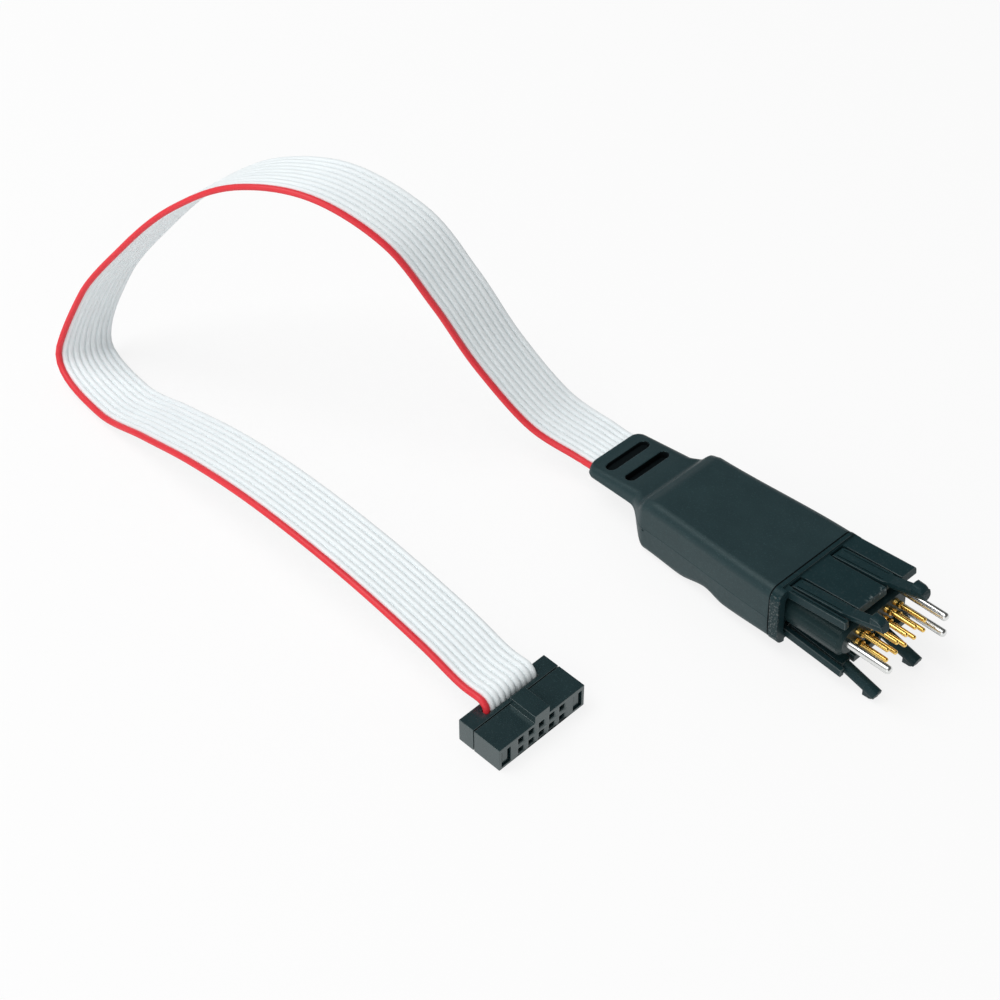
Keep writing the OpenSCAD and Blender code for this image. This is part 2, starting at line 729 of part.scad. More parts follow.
// Solder from the board to the middle of a round conductor
module saddle(y, z, r, from, to) {
    half = r + solder_w;
    low = z > board_top ? board_top : z;
    high = z > board_top ? z : board_bottom;
    difference() {
        box([from, y - half, low], [to, y + half, high]);
        translate([from - 1, y, z]) rotate([0, 90, 0]) cylinder(r = r, h = to - from + 2);
    }
}

module solder_joints() {
    barrel_from = -flange_t - barrel_tail + solder_inset;
    wire_from = -board_rear + solder_inset;
    wire_to = -board_rear + wire_lap - solder_inset;
    color(steel) in_plug() {
        for (i = [1:ways]) saddle(way_y(i), way_z(i), barrel_r, barrel_from, -board_front - solder_inset);
        for (k = [0:ways - 1]) saddle(wire_y(k), ribbon_z, wire_d / 2, wire_from, wire_to);
    }
}

module conductor_ends() {
    color(copper) in_plug() for (k = [0:ways - 1])
        translate([-ribbon_from, wire_y(k), ribbon_z]) rotate([0, 90, 0])
            cylinder(d = wire_d, h = ribbon_stop + wire_lap);
}

// Ribbon
module ribbon_plug_end() {
    color(ribbon_grey) in_plug() translate([0, 0, ribbon_z]) along_x(-boot_len, -ribbon_from) ribbon_outline();
}

function unit(v) = v / norm(v);
// A point on the smooth curve from b to c, with a and d as their neighbours
function on_curve(a, b, c, d, t) =
    0.5 * (2 * b + (c - a) * t + (2 * a - 5 * b + 4 * c - d) * t ^ 2 + (3 * b - a - 3 * c + d) * t ^ 3);
guided = concat([tail_exit - lead * tail_heading], route, [socket_exit + lead * socket_heading]);
route_points = concat(
    [for (i = [1:len(route) - 1], k = [0:route_steps - 1])
        on_curve(guided[i - 1], guided[i], guided[i + 1], guided[i + 2], k / route_steps)],
    [socket_exit]
);
function heading(i) =
    i == 0 ? tail_heading
    : i == len(route_points) - 1 ? socket_heading
    : unit(route_points[i + 1] - route_points[i - 1]);
// Eight-sided flat section, as level across as its heading allows
function ribbon_ring(i) =
    let (
        h = heading(i),
        side = unit([0, 1, 0] - h[1] * h),
        flat = cross(side, h),
        a = ribbon_w / 2,
        b = ribbon_t / 2,
        c = b / 2,
        corners = [[a, c], [a - c, b], [c - a, b], [-a, c], [-a, -c], [c - a, -b], [a - c, -b], [a, -c]]
    )
    [for (q = corners) route_points[i] + q[0] * side + q[1] * flat];

module ribbon_cable() {
    color(ribbon_grey) skin([for (i = [0:len(route_points) - 1]) ribbon_ring(i)]);
}

// The ribbon stands in the cover's slot and bends back over it
module ribbon_socket_end() {
    foot = cover_floor + ribbon_gap;
    color(ribbon_grey) in_socket() difference() {
        union() {
            translate([slot_x, 0, foot]) rotate([0, 0, 90]) linear_extrude(bend_z - foot) ribbon_outline();
            translate([slot_x - bend_r, 0, bend_z]) rotate([90, 0, 0])
                rotate_extrude(angle = 90) translate([bend_r, 0]) rotate(90) ribbon_outline();
        }
        blades(blade_gap);
    }
}

// Socket
function row_z(r) = rows_z + (r == 0 ? 1 : -1) * pin_pitch / 2;

// The contacts' piercing blades, one for each wire; grown, they cut their own slots
module blades(grow = 0) {
    room = [grow, grow, grow];
    for (c = [0:columns - 1], r = [0:rows - 1]) {
        y = wire_y(rows * c + r);
        box([slot_x - ribbon_t / 2, y - blade_t / 2, row_z(r) - blade_h / 2] - room,
            [-hole_depth - leaf_t, y + blade_t / 2, row_z(r) + blade_h / 2] + room);
    }
}

module at_holes() {
    for (c = [0:columns - 1], r = [0:rows - 1]) translate([0, column_y(c), row_z(r)]) children();
}

module socket_body() {
    color(plastic) in_socket() difference() {
        union() {
            box([-body_depth, -socket_w / 2, 0], [0, socket_w / 2, socket_h]);
            box([-body_depth, -key_w / 2, 0], [0, key_w / 2, socket_h + key_h]);
        }
        at_holes() {
            along_x(-body_depth - 1, 1) square(hole_w, center = true);
            along_x(-body_depth - 1, -hole_depth) square([pocket_w, hole_w], center = true);
            translate([-mouth_bevel, 0, 0]) rotate([90, 0, 90])
                linear_extrude(mouth_bevel, scale = mouth_w / hole_w) square(hole_w, center = true);
        }
        for (y = [-window_y, window_y])
            translate([0, y, rows_z]) along_x(-body_depth - 1, 1) square([window_w, window_h], center = true);
    }
}

module socket_cover() {
    half_slot = ribbon_w / 2 + ribbon_gap;
    color(plastic) in_socket() {
        difference() {
            box([-cover_back, -socket_w / 2, 0], [-cover_front, socket_w / 2, socket_h]);
            box([slot_x - slot_t / 2, -half_slot, cover_floor], [slot_x + slot_t / 2, half_slot, socket_h + 1]);
            blades(blade_gap);
        }
        for (y = [-window_y, window_y]) translate([0, y, rows_z])
            along_x(-cover_front, -arm_inset) square([arm_w, window_h - 2 * arm_gap], center = true);
    }
}

module socket_contacts() {
    half_leaf = hole_w / 2 - leaf_gap;
    reach = hole_w / 2 - blade_gap;
    half_plate = pocket_w / 2 - blade_gap;
    color(gold) in_socket() {
        at_holes() {
            for (z = [-reach, reach - leaf_t])
                box([-hole_depth - leaf_t, -half_leaf, z], [-leaf_inset, half_leaf, z + leaf_t]);
            box([-hole_depth - 2 * leaf_t, -half_plate, -reach], [-hole_depth - leaf_t, half_plate, reach]);
        }
        blades();
    }
}

overmould_boot();
front_shell();
pin_block();
leg_near_upper();
leg_near_lower();
leg_far_upper();
leg_far_lower();
alignment_pin_near();
alignment_pin_far_upper();
alignment_pin_far_lower();
pin_barrels();
adapter_board();
solder_joints();
conductor_ends();
ribbon_plug_end();
ribbon_cable();
ribbon_socket_end();
socket_body();
socket_cover();
socket_contacts();
for (i = [1:ways]) plunger(i);
for (i = [1:ways]) spring(i);
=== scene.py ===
# %% [markdown]
# # A spring-pin programming cable
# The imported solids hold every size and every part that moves. This lesson dresses them: it loads
# them as a fixed frame, sets up a camera and a pale studio, and then makes one piece after another,
# each with a finish of its own.

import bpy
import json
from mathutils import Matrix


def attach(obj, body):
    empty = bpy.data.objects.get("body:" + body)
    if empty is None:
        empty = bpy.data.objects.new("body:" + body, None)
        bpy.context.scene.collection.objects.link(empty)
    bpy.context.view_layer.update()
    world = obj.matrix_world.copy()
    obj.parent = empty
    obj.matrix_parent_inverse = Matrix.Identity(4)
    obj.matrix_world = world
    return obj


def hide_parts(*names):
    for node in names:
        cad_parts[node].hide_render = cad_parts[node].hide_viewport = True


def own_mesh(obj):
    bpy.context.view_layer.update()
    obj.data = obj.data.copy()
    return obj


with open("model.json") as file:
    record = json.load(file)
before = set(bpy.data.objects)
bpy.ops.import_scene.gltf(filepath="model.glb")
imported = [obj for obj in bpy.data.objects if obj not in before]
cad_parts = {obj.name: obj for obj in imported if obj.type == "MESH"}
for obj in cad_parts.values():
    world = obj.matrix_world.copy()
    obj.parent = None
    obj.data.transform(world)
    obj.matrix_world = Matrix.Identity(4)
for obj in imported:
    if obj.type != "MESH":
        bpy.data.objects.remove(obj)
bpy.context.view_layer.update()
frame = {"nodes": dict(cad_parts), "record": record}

# %% [markdown]
# ## Axes of the plug and of the socket
# The plug lies nose up on its lower legs, and the socket is turned a little on the floor. Modelling
# straight in the frame would put that tilt into every number. So each piece is modelled in
# millimetres along its own axes, x out of its front, y to the far side and z up, and one matrix
# carries it into the frame's metres. The record's mounts say where those axes are. The plug's start
# at the seam between boot and shell, a known way behind the mount of an alignment pin.

# %% Axes
import json
import math

import bmesh
import bpy
from mathutils import Matrix, Vector

MM = 0.001
UP = Vector((0, 0, 1))
PIN_MOUNT = 7.7
mounts = {mount["name"]: mount for mount in frame["record"]["mounts"]}


def axes(origin, forward):
    """The matrix from millimetres along a piece's own axes to metres in the frame."""
    far = UP.cross(forward).normalized()
    turn = Matrix((forward, far, forward.cross(far))).transposed().to_4x4()
    return Matrix.Translation(origin) @ turn @ Matrix.Scale(MM, 4)


def extent(node, own_axes):
    """Lowest and highest corner of a CAD node along a piece's own axes, in millimetres."""
    back = own_axes.inverted()
    spots = [back @ vert.co for vert in frame["nodes"][node].data.vertices]
    return [Vector(pick(spot[k] for spot in spots) for k in range(3)) for pick in (min, max)]


nose = Vector(mounts["alignment_pin_near"]["axis"])
seam = Vector(mounts["alignment_pin_near"]["pos_m"]) - PIN_MOUNT * MM * nose
seam.y = 0
PLUG = axes(seam, nose)
mouths = Vector(mounts["socket_field"]["pos_m"])
SOCKET = axes(Vector((mouths.x, mouths.y, 0)), Vector(mounts["socket_field"]["axis"]))
print("the nose rises by", round(math.degrees(math.asin(nose.z)), 2), "degrees")

# %% [markdown]
# ## Camera
# A photograph fixes its camera once a few points of known size are found in it. Here the pins on
# their 1.27 mm grid gave the angles, the distance and the focal length, so the camera is written
# down as those numbers and looks at a point on the floor.

# %% Camera
PICTURE = 1000
FOCAL_PIXELS = 2203.3
SENSOR = 36
CLIP = (0.01, 10)
AZIMUTH = math.radians(46.78)
ELEVATION = math.radians(44.947)
TARGET = Vector((-0.0237086, -0.0100563, 0))
DISTANCE = 0.2123352

scene = bpy.context.scene
scene.view_settings.view_transform = "Standard"
back = Vector((
    math.sin(AZIMUTH) * math.cos(ELEVATION),
    -math.cos(AZIMUTH) * math.cos(ELEVATION),
    math.sin(ELEVATION),
))
camera = bpy.data.objects.new("camera", bpy.data.cameras.new("camera"))
camera.data.sensor_width = SENSOR
camera.data.lens = SENSOR * FOCAL_PIXELS / PICTURE
camera.data.clip_start, camera.data.clip_end = CLIP
camera.location = TARGET + DISTANCE * back
camera.rotation_mode = "QUATERNION"
camera.rotation_quaternion = (-back).to_track_quat("-Z", "Y")
scene.collection.objects.link(camera)
scene.camera = camera
print("lens", round(camera.data.lens, 1), "mm")

# %% [markdown]
# ## Shader sums in plain Python
# A finish is a small graph of nodes. Wiring it by hand hides the idea behind links, so this class
# wraps one output socket and lets it take part in sums: an expression adds the Math nodes that it
# needs. Every other node comes from one method.

# %% Signals
class Signal:
    """An output socket that can be added, multiplied, and taken from a number."""

    def __init__(self, tree, socket=None):
        self.tree = tree
        self.socket = socket

    def node(self, kind, inputs, out=0, **settings):
        """Adds a node to the tree, fills its inputs and gives one of its outputs."""
        made = self.tree.nodes.new(kind)
        for name, value in settings.items():
            setattr(made, name, value)
        for key, value in inputs.items():
            if isinstance(value, Signal):
                self.tree.links.new(value.socket, made.inputs[key])
            else:
                made.inputs[key].default_value = value
        return Signal(self.tree, made.outputs[out])

    def sums(self, operation, first, second):
        return self.node("ShaderNodeMath", {0: first, 1: second}, operation=operation)

    def __add__(self, other):
        return self.sums("ADD", self, other)

    def __mul__(self, other):
        return self.sums("MULTIPLY", self, other)

    def __rsub__(self, other):
        return self.sums("SUBTRACT", other, self)

    __radd__ = __add__
    __rmul__ = __mul__


# %% [markdown]
# ## Words for finishes
# Every finish here is said in a few words: a tint between two colours, a soft step, noise with spots
# of a given size, noise drawn out in one direction, and relief. A finish reads its place along the
# piece's own axes, so that its sizes are millimetres too and its marks follow the piece.

# %% Finish helpers
def rgba(colour):
    return (*colour, 1)


def tint(mask, low, high):
    """The colour low where mask is 0 and high where it is 1."""
    sides = [side if isinstance(side, Signal) else rgba(side) for side in (low, high)]
    return mask.node("ShaderNodeMix", {0: mask, 6: sides[0], 7: sides[1]}, out=2, data_type="RGBA")


def ramped(signal, low, high):
    """0 below low, 1 above high, and a soft step between them."""
    ends = {"Value": signal, "From Min": low, "From Max": high}
    return signal.node("ShaderNodeMapRange", ends, interpolation_type="SMOOTHSTEP")


def grain(place, size, detail=2):
    """Noise with spots of about that size, in millimetres."""
    return place.node("ShaderNodeTexNoise", {"Vector": place, "Scale": 1 / size, "Detail": detail})


def stretched(place, scale):
    """The place times a scale per axis: below 1 draws noise out, above 1 squeezes it."""
    return place.node("ShaderNodeMapping", {"Vector": place, "Scale": scale})


def relief(height, strength, depth):
    """A bump of that depth, in millimetres."""
    return height.node("ShaderNodeBump", {"Height": height, "Strength": strength, "Distance": depth * MM})


def finish(name, paint, own_axes=PLUG, **constants):
    """A material: paint says what varies over the surface, the constants what doesn't."""
    made = bpy.data.materials.new(name)
    made.use_nodes = True
    shader = made.node_tree.nodes["Principled BSDF"]
    for socket, value in constants.items():
        shader.inputs[socket.replace("_", " ")].default_value = value
    place = Signal(made.node_tree).node("ShaderNodeTexCoord", {}, out="Object")
    move, turn, scale = own_axes.inverted().decompose()
    own = {"Vector": place, "Location": move, "Rotation": turn.to_euler(), "Scale": scale}
    place = place.node("ShaderNodeMapping", own)
    for socket, signal in paint(place).items():
        made.node_tree.links.new(signal.socket, shader.inputs[socket])
    print("finish", name)
    return made


# %% [markdown]
# ## Studio
# The object lies on a white sheet in a darker room. A white sheet that is only lit turns grey in the
# picture. So for the camera, and in anything shiny, most of its white is a glow of its own, and the
# rest comes from the lamps, which leaves the shadow in place. What is shiny mirrors the sheet on its
# sides and the dim room on its top, and that contrast is what draws the edges of black plastic and
# bright metal. A soft lamp hangs high over the cable, and a wider one stands low in front.

# %% Sheet and room
WHITE = (1, 1, 1)
WHITE_SHARE = 0.82
AMBIENT = 0.42
ROOM = 0.1
HORIZON = 0.3
SEEN_RAYS = ("Is Camera Ray", "Is Glossy Ray", "Is Transmission Ray")


def seen(signal):
    """1 for what the camera sees, also in a mirror or through glass."""
    path = signal.node("ShaderNodeLightPath", {}).socket.node.outputs
    rays = [Signal(signal.tree, path[name]) for name in SEEN_RAYS]
    return rays[0] + rays[1] + rays[2]


def sheet_of_paper():
    made = bpy.data.materials.new("white_sheet")
    made.use_nodes = True
    tree = made.node_tree
    shader = tree.nodes["Principled BSDF"]
    shader.inputs["Base Color"].default_value = rgba((0.92, 0.92, 0.92))
    shader.inputs["Roughness"].default_value = 0.9
    shader.inputs["Specular IOR Level"].default_value = 0.1
    start = Signal(tree)
    glow = start.node("ShaderNodeEmission", {"Color": rgba(WHITE), "Strength": 1})
    share = seen(start) * WHITE_SHARE
    mixed = start.node("ShaderNodeMixShader", {0: share, 1: Signal(tree, shader.outputs[0]), 2: glow})
    tree.links.new(mixed.socket, tree.nodes["Material Output"].inputs["Surface"])
    return made


def studio_world():
    """White behind the cable, dim overhead in what is shiny, and an even light on all the rest."""
    world = bpy.data.worlds.new("studio")
    world.use_nodes = True
    tree = world.node_tree
    start = Signal(tree)
    facing = start.node("ShaderNodeTexCoord", {}, out="Generated")
    height = facing.node("ShaderNodeSeparateXYZ", {0: facing}, out=2)
    camera_ray = start.node("ShaderNodeLightPath", {}, out="Is Camera Ray")
    room = tint(ramped(height, 0, HORIZON), WHITE, (ROOM, ROOM, ROOM))
    shown = tint(camera_ray, room, WHITE)
    lit = tint(seen(start), (AMBIENT, AMBIENT, AMBIENT), shown)
    tree.links.new(lit.socket, tree.nodes["Background"].inputs["Color"])
    return world


scene.world = studio_world()
print("world", scene.world.name)

# %% Floor and lamps
FLOOR_RADIUS = 3
FLOOR_SIDES = 64


def lamp(name, place, size, power):
    """A square soft lamp that looks at the camera's target and that the camera doesn't see."""
    made = bpy.data.objects.new(name, bpy.data.lights.new(name, "AREA"))
    made.visible_camera = False
    made.data.size = size
    made.data.energy = power
    made.location = place
    made.rotation_euler = (TARGET - made.location).to_track_quat("-Z", "Y").to_euler()
    scene.collection.objects.link(made)


floor_mesh = bmesh.new()
bmesh.ops.create_circle(floor_mesh, cap_ends=True, segments=FLOOR_SIDES, radius=FLOOR_RADIUS)
floor = bpy.data.objects.new("floor", bpy.data.meshes.new("floor"))
floor_mesh.to_mesh(floor.data)
floor_mesh.free()
floor.data.materials.append(sheet_of_paper())
scene.collection.objects.link(floor)
lamp("key", place=(-0.16, -0.14, 0.42), size=0.3, power=1.1)
lamp("front", place=(0.12, -0.42, 0.16), size=0.5, power=0.75)
print("studio: one sheet, two lamps")

# %% [markdown]
# ## From a bmesh to a piece
# Every piece ends the same way: its mesh goes into the frame, its soft and sharp edges are told
# apart by their angle, it gets its finish, and it rides on the body that carries it in place of the
# plain solid.

# %% Finishing a piece
SHARP = math.radians(35)


def shown_as(name, bm, finishes, body, stands_for, own_axes=PLUG):
    """Makes a piece of a bmesh, which is used up."""
    bmesh.ops.transform(bm, matrix=own_axes, verts=bm.verts)
    mesh = bpy.data.meshes.new(name)
    bm.to_mesh(mesh)
    bm.free()
    mesh.polygons.foreach_set("use_smooth", [True] * len(mesh.polygons))
    mesh.set_sharp_from_angle(angle=SHARP)
    for each in finishes:
        mesh.materials.append(each)
    piece = bpy.data.objects.new(name, mesh)
    scene.collection.objects.link(piece)
    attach(piece, body)
    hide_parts(*stands_for)
    print(name, "has", len(mesh.polygons), "faces")
    return piece


def flat_faces(piece):
    """Lets the largest faces rule the shading, so that a flat stays flat beside its rounded edges."""
    weights = piece.modifiers.new("flat_faces", "WEIGHTED_NORMAL")
    weights.keep_sharp = True


print("edges over", round(math.degrees(SHARP)), "degrees stay sharp")

# %% [markdown]
# ## The ribbon's finish
# Ten wires lie side by side in pale grey vinyl, and the first one is red so that nobody plugs the
# cable in backwards. Colour follows the wire and not the room, so the mesh carries two attributes:
# how far across the ribbon a point lies, and how far along it.

# %% Ribbon finish
WAYS = 10
WIRE_PITCH = 0.635
RED_EDGE = -(WAYS / 2 - 1) * WIRE_PITCH
RED_BLUR = 0.06
STREAK_SCALE = 0.08
STREAK_W = 0.5
SHEEN_W = 0.25


def vinyl(place):
    across = place.node("ShaderNodeAttribute", {}, out="Fac", attribute_name="across")
    along = place.node("ShaderNodeAttribute", {}, out="Fac", attribute_name="along")
    laid = place.node("ShaderNodeCombineXYZ", {"X": along * STREAK_SCALE, "Y": across})
    streak = grain(laid, STREAK_W)
    red = 1 - ramped(across, RED_EDGE - RED_BLUR, RED_EDGE + RED_BLUR)
    pale = tint(streak, (0.82, 0.88, 0.90), (0.91, 0.95, 0.96))
    dyed = tint(streak, (0.72, 0.018, 0.032), (0.86, 0.04, 0.055))
    return {
        "Base Color": tint(red, pale, dyed),
        "Roughness": 0.42 + 0.12 * grain(laid, SHEEN_W),
    }


ribbon_vinyl = finish("ribbon_vinyl", vinyl)

# %% [markdown]
# ## The ribbon's route
# The free ribbon is a fixed length of springy flat cable, held in the plug's tail and in the
# socket's cover, so it stands up in a loop between them. A smooth curve through a few points, in the
# frame's metres, is its middle line. It leaves the tail and enters the socket straight.

# %% Route of the ribbon
LEAD = 0.0025
ROUTE_STEPS = 9
SLOT_X = -3.98
BEND_R = 0.9
BEND_Z = 2.66
ROUTE = [
    (-0.026, -0.0015, 0.005), (-0.031, -0.0035, 0.0105), (-0.0345, -0.0057, 0.0173),
    (-0.0385, -0.0081, 0.0235), (-0.0453, -0.0111, 0.0265), (-0.0524, -0.0145, 0.0254),
    (-0.0583, -0.0179, 0.0212), (-0.0628, -0.0213, 0.0155), (-0.0663, -0.0245, 0.0092),
    (-0.067, -0.0275, 0.002), (-0.0595, -0.0285, 0.0008), (-0.0517, -0.0286, 0.003),
    (-0.044, -0.0286, 0.0051), (-0.036, -0.0285, 0.0063), (-0.028, -0.0283, 0.0065),
    (-0.02, -0.028, 0.0059), (-0.012, -0.02775, 0.0047),
]
boot_low, boot_high = extent("overmould_boot", PLUG)
inner_low, inner_high = extent("ribbon_plug_end", PLUG)
RIBBON_Z = (inner_low.z + inner_high.z) / 2
tail_exit = PLUG @ Vector((boot_low.x, 0, RIBBON_Z))
socket_exit = SOCKET @ Vector((SLOT_X - BEND_R, 0, BEND_Z + BEND_R))
socket_heading = SOCKET.col[0].to_3d().normalized()


def on_curve(a, b, c, d, t):
    """A point on the smooth curve from b to c, with a and d as their neighbours."""
    return 0.5 * (2 * b + t * (c - a) + t**2 * (2 * a - 5 * b + 4 * c - d) + t**3 * (3 * b - a - 3 * c + d))


knots = [tail_exit + LEAD * nose, tail_exit, tail_exit - LEAD * nose]
knots += [Vector(point) for point in ROUTE]
knots += [socket_exit - LEAD * socket_heading, socket_exit, socket_exit + LEAD * socket_heading]
free_path = [
    on_curve(*knots[i - 1:i + 3], k / ROUTE_STEPS)
    for i in range(1, len(knots) - 2) for k in range(ROUTE_STEPS)
]
print("free run of", len(free_path), "points")

# %% [markdown]
# At each point of the route a matrix says how the ribbon lies there. On the free run its width
# points to the far side, square to the route. Above the socket the ribbon turns down by a quarter
# and ends in the slot there.

# %% Stations of the ribbon
BEND_STEPS = 10
FOOT_Z = 0.33
socket_side = SOCKET.col[1].to_3d().normalized()


def station(point, heading, side):
    """Carries the ribbon's outline, in millimetres, to a point of its route."""
    turn = Matrix((heading, side, side.cross(heading))).transposed().to_4x4()
    return Matrix.Translation(point) @ turn @ Matrix.Scale(MM, 4)


def free_station(before, point, after):
    heading = (after - before).normalized()
    side = (Vector((0, 1, 0)) - heading.y * heading).normalized()
    return station(point, heading, side)


def bend_station(share):
    """A place on the quarter turn from the run above the cover down into its slot."""
    turned = share * math.pi / 2
    centre = Vector((SLOT_X - BEND_R, 0, BEND_Z))
    spot = SOCKET @ (centre + BEND_R * Vector((math.sin(turned), 0, math.cos(turned))))
    return station(spot, math.cos(turned) * socket_heading - math.sin(turned) * UP, socket_side)


ends = [free_path[0] + MM * nose, *free_path, socket_exit]
stations = [free_station(*ends[i - 1:i + 2]) for i in range(1, len(ends) - 1)]
stations += [bend_station(k / BEND_STEPS) for k in range(BEND_STEPS + 1)]
stations += [station(SOCKET @ Vector((SLOT_X, 0, FOOT_Z)), -UP, socket_side)]
ribbon_path = [place.to_translation() for place in stations]
steps = [(b - a).length for a, b in zip(ribbon_path, ribbon_path[1:])]

# %% [markdown]
# ## The ribbon
# Flat cable leaves its die with ten round backs. A bevelled curve can't give it those, with the
# grooves between them. Instead half the outline is spun wire by wire and mirrored, and then it is
# extruded from station to station, as the die does it.

# %% Ribbon outline
WIRE_R = 0.33
RIBBON_T = 0.6
ARC_STEPS = 7
OUTLINE_WELD = 0.001
groove = math.acos(WIRE_PITCH / 2 / WIRE_R)

ribbon_mesh = bmesh.new()
across = ribbon_mesh.verts.layers.float.new("across")
along = ribbon_mesh.verts.layers.float.new("along")
first_y = -(WAYS - 1) / 2 * WIRE_PITCH
tip = ribbon_mesh.verts.new((0, first_y - WIRE_R, 0))
for wire in range(WAYS):
    angle = math.pi - groove * ((wire > 0) + (wire < WAYS - 1))
    middle = (0, first_y + wire * WIRE_PITCH, 0)
    arc = bmesh.ops.spin(ribbon_mesh, geom=[tip], cent=middle, axis=(1, 0, 0), angle=-angle, steps=ARC_STEPS)
    tip = next(part for part in arc["geom_last"] if isinstance(part, bmesh.types.BMVert))
upper = ribbon_mesh.verts[:] + ribbon_mesh.edges[:]
bmesh.ops.mirror(ribbon_mesh, geom=upper, matrix=Matrix(), merge_dist=OUTLINE_WELD, axis="Z")
bmesh.ops.remove_doubles(ribbon_mesh, verts=ribbon_mesh.verts, dist=OUTLINE_WELD)
bmesh.ops.scale(ribbon_mesh, vec=(1, 1, RIBBON_T / 2 / WIRE_R), verts=ribbon_mesh.verts)
for vert in ribbon_mesh.verts:
    vert[across] = vert.co.y
print("outline of", len(ribbon_mesh.verts), "points")

# %% Ribbon along its route
outline = ribbon_mesh.edges[:]
bmesh.ops.transform(ribbon_mesh, matrix=stations[0], verts=ribbon_mesh.verts)
run = 0
for before, after, step in zip(stations, stations[1:], steps):
    grown = bmesh.ops.extrude_edge_only(ribbon_mesh, edges=outline)["geom"]
    outline = [part for part in grown if isinstance(part, bmesh.types.BMEdge)]
    ring = [part for part in grown if isinstance(part, bmesh.types.BMVert)]
    bmesh.ops.transform(ribbon_mesh, matrix=after @ before.inverted(), verts=ring)
    run += step
    for vert in ring:
        vert[along] = run / MM
bmesh.ops.holes_fill(ribbon_mesh, edges=[edge for edge in ribbon_mesh.edges if edge.is_boundary], sides=0)
bmesh.ops.recalc_face_normals(ribbon_mesh, faces=ribbon_mesh.faces)
ribbon = shown_as(
    "ribbon", ribbon_mesh, [ribbon_vinyl], "plug", ["ribbon_cable", "ribbon_socket_end"], Matrix(),
)

# %% [markdown]
# ## Moulded plastic
# The boot and the shell are the same bluish black plastic from two moulds. What the eye reads is
# its fine spark-eroded texture: faint clouds, tiny pale specks, a sheen that isn't quite even, and a
# grain of about a tenth of a millimetre. Four sizes of noise make that. The shell is worn as well:
# hazy from handling, chalky on its near side and scuffed on the lip over the pins. Rounded edges get
# a paler plastic of their own, partly rubbed wear and partly a painted highlight, and the slots and
# the seam a darker one, which is painted shade for where light hardly gets in.

# %% Recipes for plastic
CLOUD = 2.4
CLOUD_SHARE = 0.4
SPECK = 0.13
SPECK_SHARE = 0.6
SPECK_STEP = (0.58, 0.74)
SHEEN = 0.4
SHEEN_SPREAD = 0.16
TEXTURE = 0.14
TEXTURE_DEPTH = 0.012
HAZE = 0.3
HAZE_SHARE = 0.25
HAZE_STEP = (0.54, 0.78)
CHALK = 0.22
CHALK_STEP = (0.5, 0.66)
SCUFF = 0.3
SCUFF_SCALE = (0.5, 1.1, 1)
SCUFF_STEP = (0.52, 0.64)
NEAR_SIDE = (-5.7, -5.3)
LIP_FRONT = (6.6, 7.1)
LIP_TOP = (3, 3.25)
LIP_FROM = (-1.6, 0.9)
LIP_TO = (1.45, 1.6)


def moulded(dark, pale, rough, texture=0.35):
    """A recipe for plastic between two colours, with a roughness and a strength of texture."""
    def paint(place):
        cloud = grain(place, CLOUD)
        specks = ramped(grain(place, SPECK, 1), *SPECK_STEP)
        return {
            "Base Color": tint(cloud * CLOUD_SHARE + specks * SPECK_SHARE, dark, pale),
            "Roughness": rough + SHEEN_SPREAD * grain(place, SHEEN),
            "Normal": relief(grain(place, TEXTURE, 3), texture, TEXTURE_DEPTH),
        }
    return paint


def worn_shell(place):
    """The shell's plastic with its haze, its chalky near side and its scuffed lip."""
    made = moulded((0.008, 0.024, 0.028), (0.021, 0.048, 0.054), 0.28)(place)
    x, y, z = [place.node("ShaderNodeSeparateXYZ", {0: place}, out=k) for k in range(3)]
    haze = ramped(grain(place, HAZE, 4), *HAZE_STEP) * HAZE_SHARE
    chalk = ramped(grain(place, CHALK, 4), *CHALK_STEP) * (1 - ramped(y, *NEAR_SIDE))
    lip = ramped(x, *LIP_FRONT) * ramped(z, *LIP_TOP) * ramped(y, *LIP_FROM) * (1 - ramped(y, *LIP_TO))
    ragged = ramped(grain(stretched(place, SCUFF_SCALE), SCUFF, 4), *SCUFF_STEP)
    hazy = tint(haze, made["Base Color"], (0.055, 0.068, 0.07))
    chalky = tint(chalk, hazy, (0.11, 0.125, 0.125))
    made["Base Color"] = tint(lip * ragged, chalky, (0.26, 0.3, 0.3))
    return made


# %% Plastic finishes
GREEN_SHEEN = (0.84, 1, 0.98, 1)
boot_plastic = finish(
    "boot_plastic", moulded((0.009, 0.026, 0.031), (0.027, 0.058, 0.064), 0.4), Specular_IOR_Level=0.36,
    Specular_Tint=GREEN_SHEEN,
)
# Painted shade: a near-black plastic for the slots and the seam, where light hardly gets in.
slot_shade = finish(
    "slot_shade", moulded((0.0015, 0.004, 0.005), (0.004, 0.008, 0.009), 0.7), Specular_IOR_Level=0.1,
)
shell_plastic = finish("shell_plastic", worn_shell, Specular_IOR_Level=0.12, Specular_Tint=GREEN_SHEEN)
# Paler plastic for the shell's rounded edges: partly rubbed wear, partly a painted highlight along each
# edge.
shell_edge_wear_and_highlight = finish(
    "shell_edge_wear_and_highlight", moulded((0.022, 0.036, 0.04), (0.075, 0.095, 0.1), 0.3), Specular_Tint=GREEN_SHEEN,
)
block_plastic = finish(
    "block_plastic", moulded((0.006, 0.018, 0.02), (0.018, 0.039, 0.042), 0.26, 0.9), Specular_IOR_Level=0.2,
    Specular_Tint=GREEN_SHEEN,
)
socket_plastic = finish(
    "socket_plastic", moulded((0.007, 0.021, 0.025), (0.023, 0.049, 0.054), 0.16, 0.12), SOCKET,
    Specular_IOR_Level=0.75, Specular_Tint=GREEN_SHEEN,
)
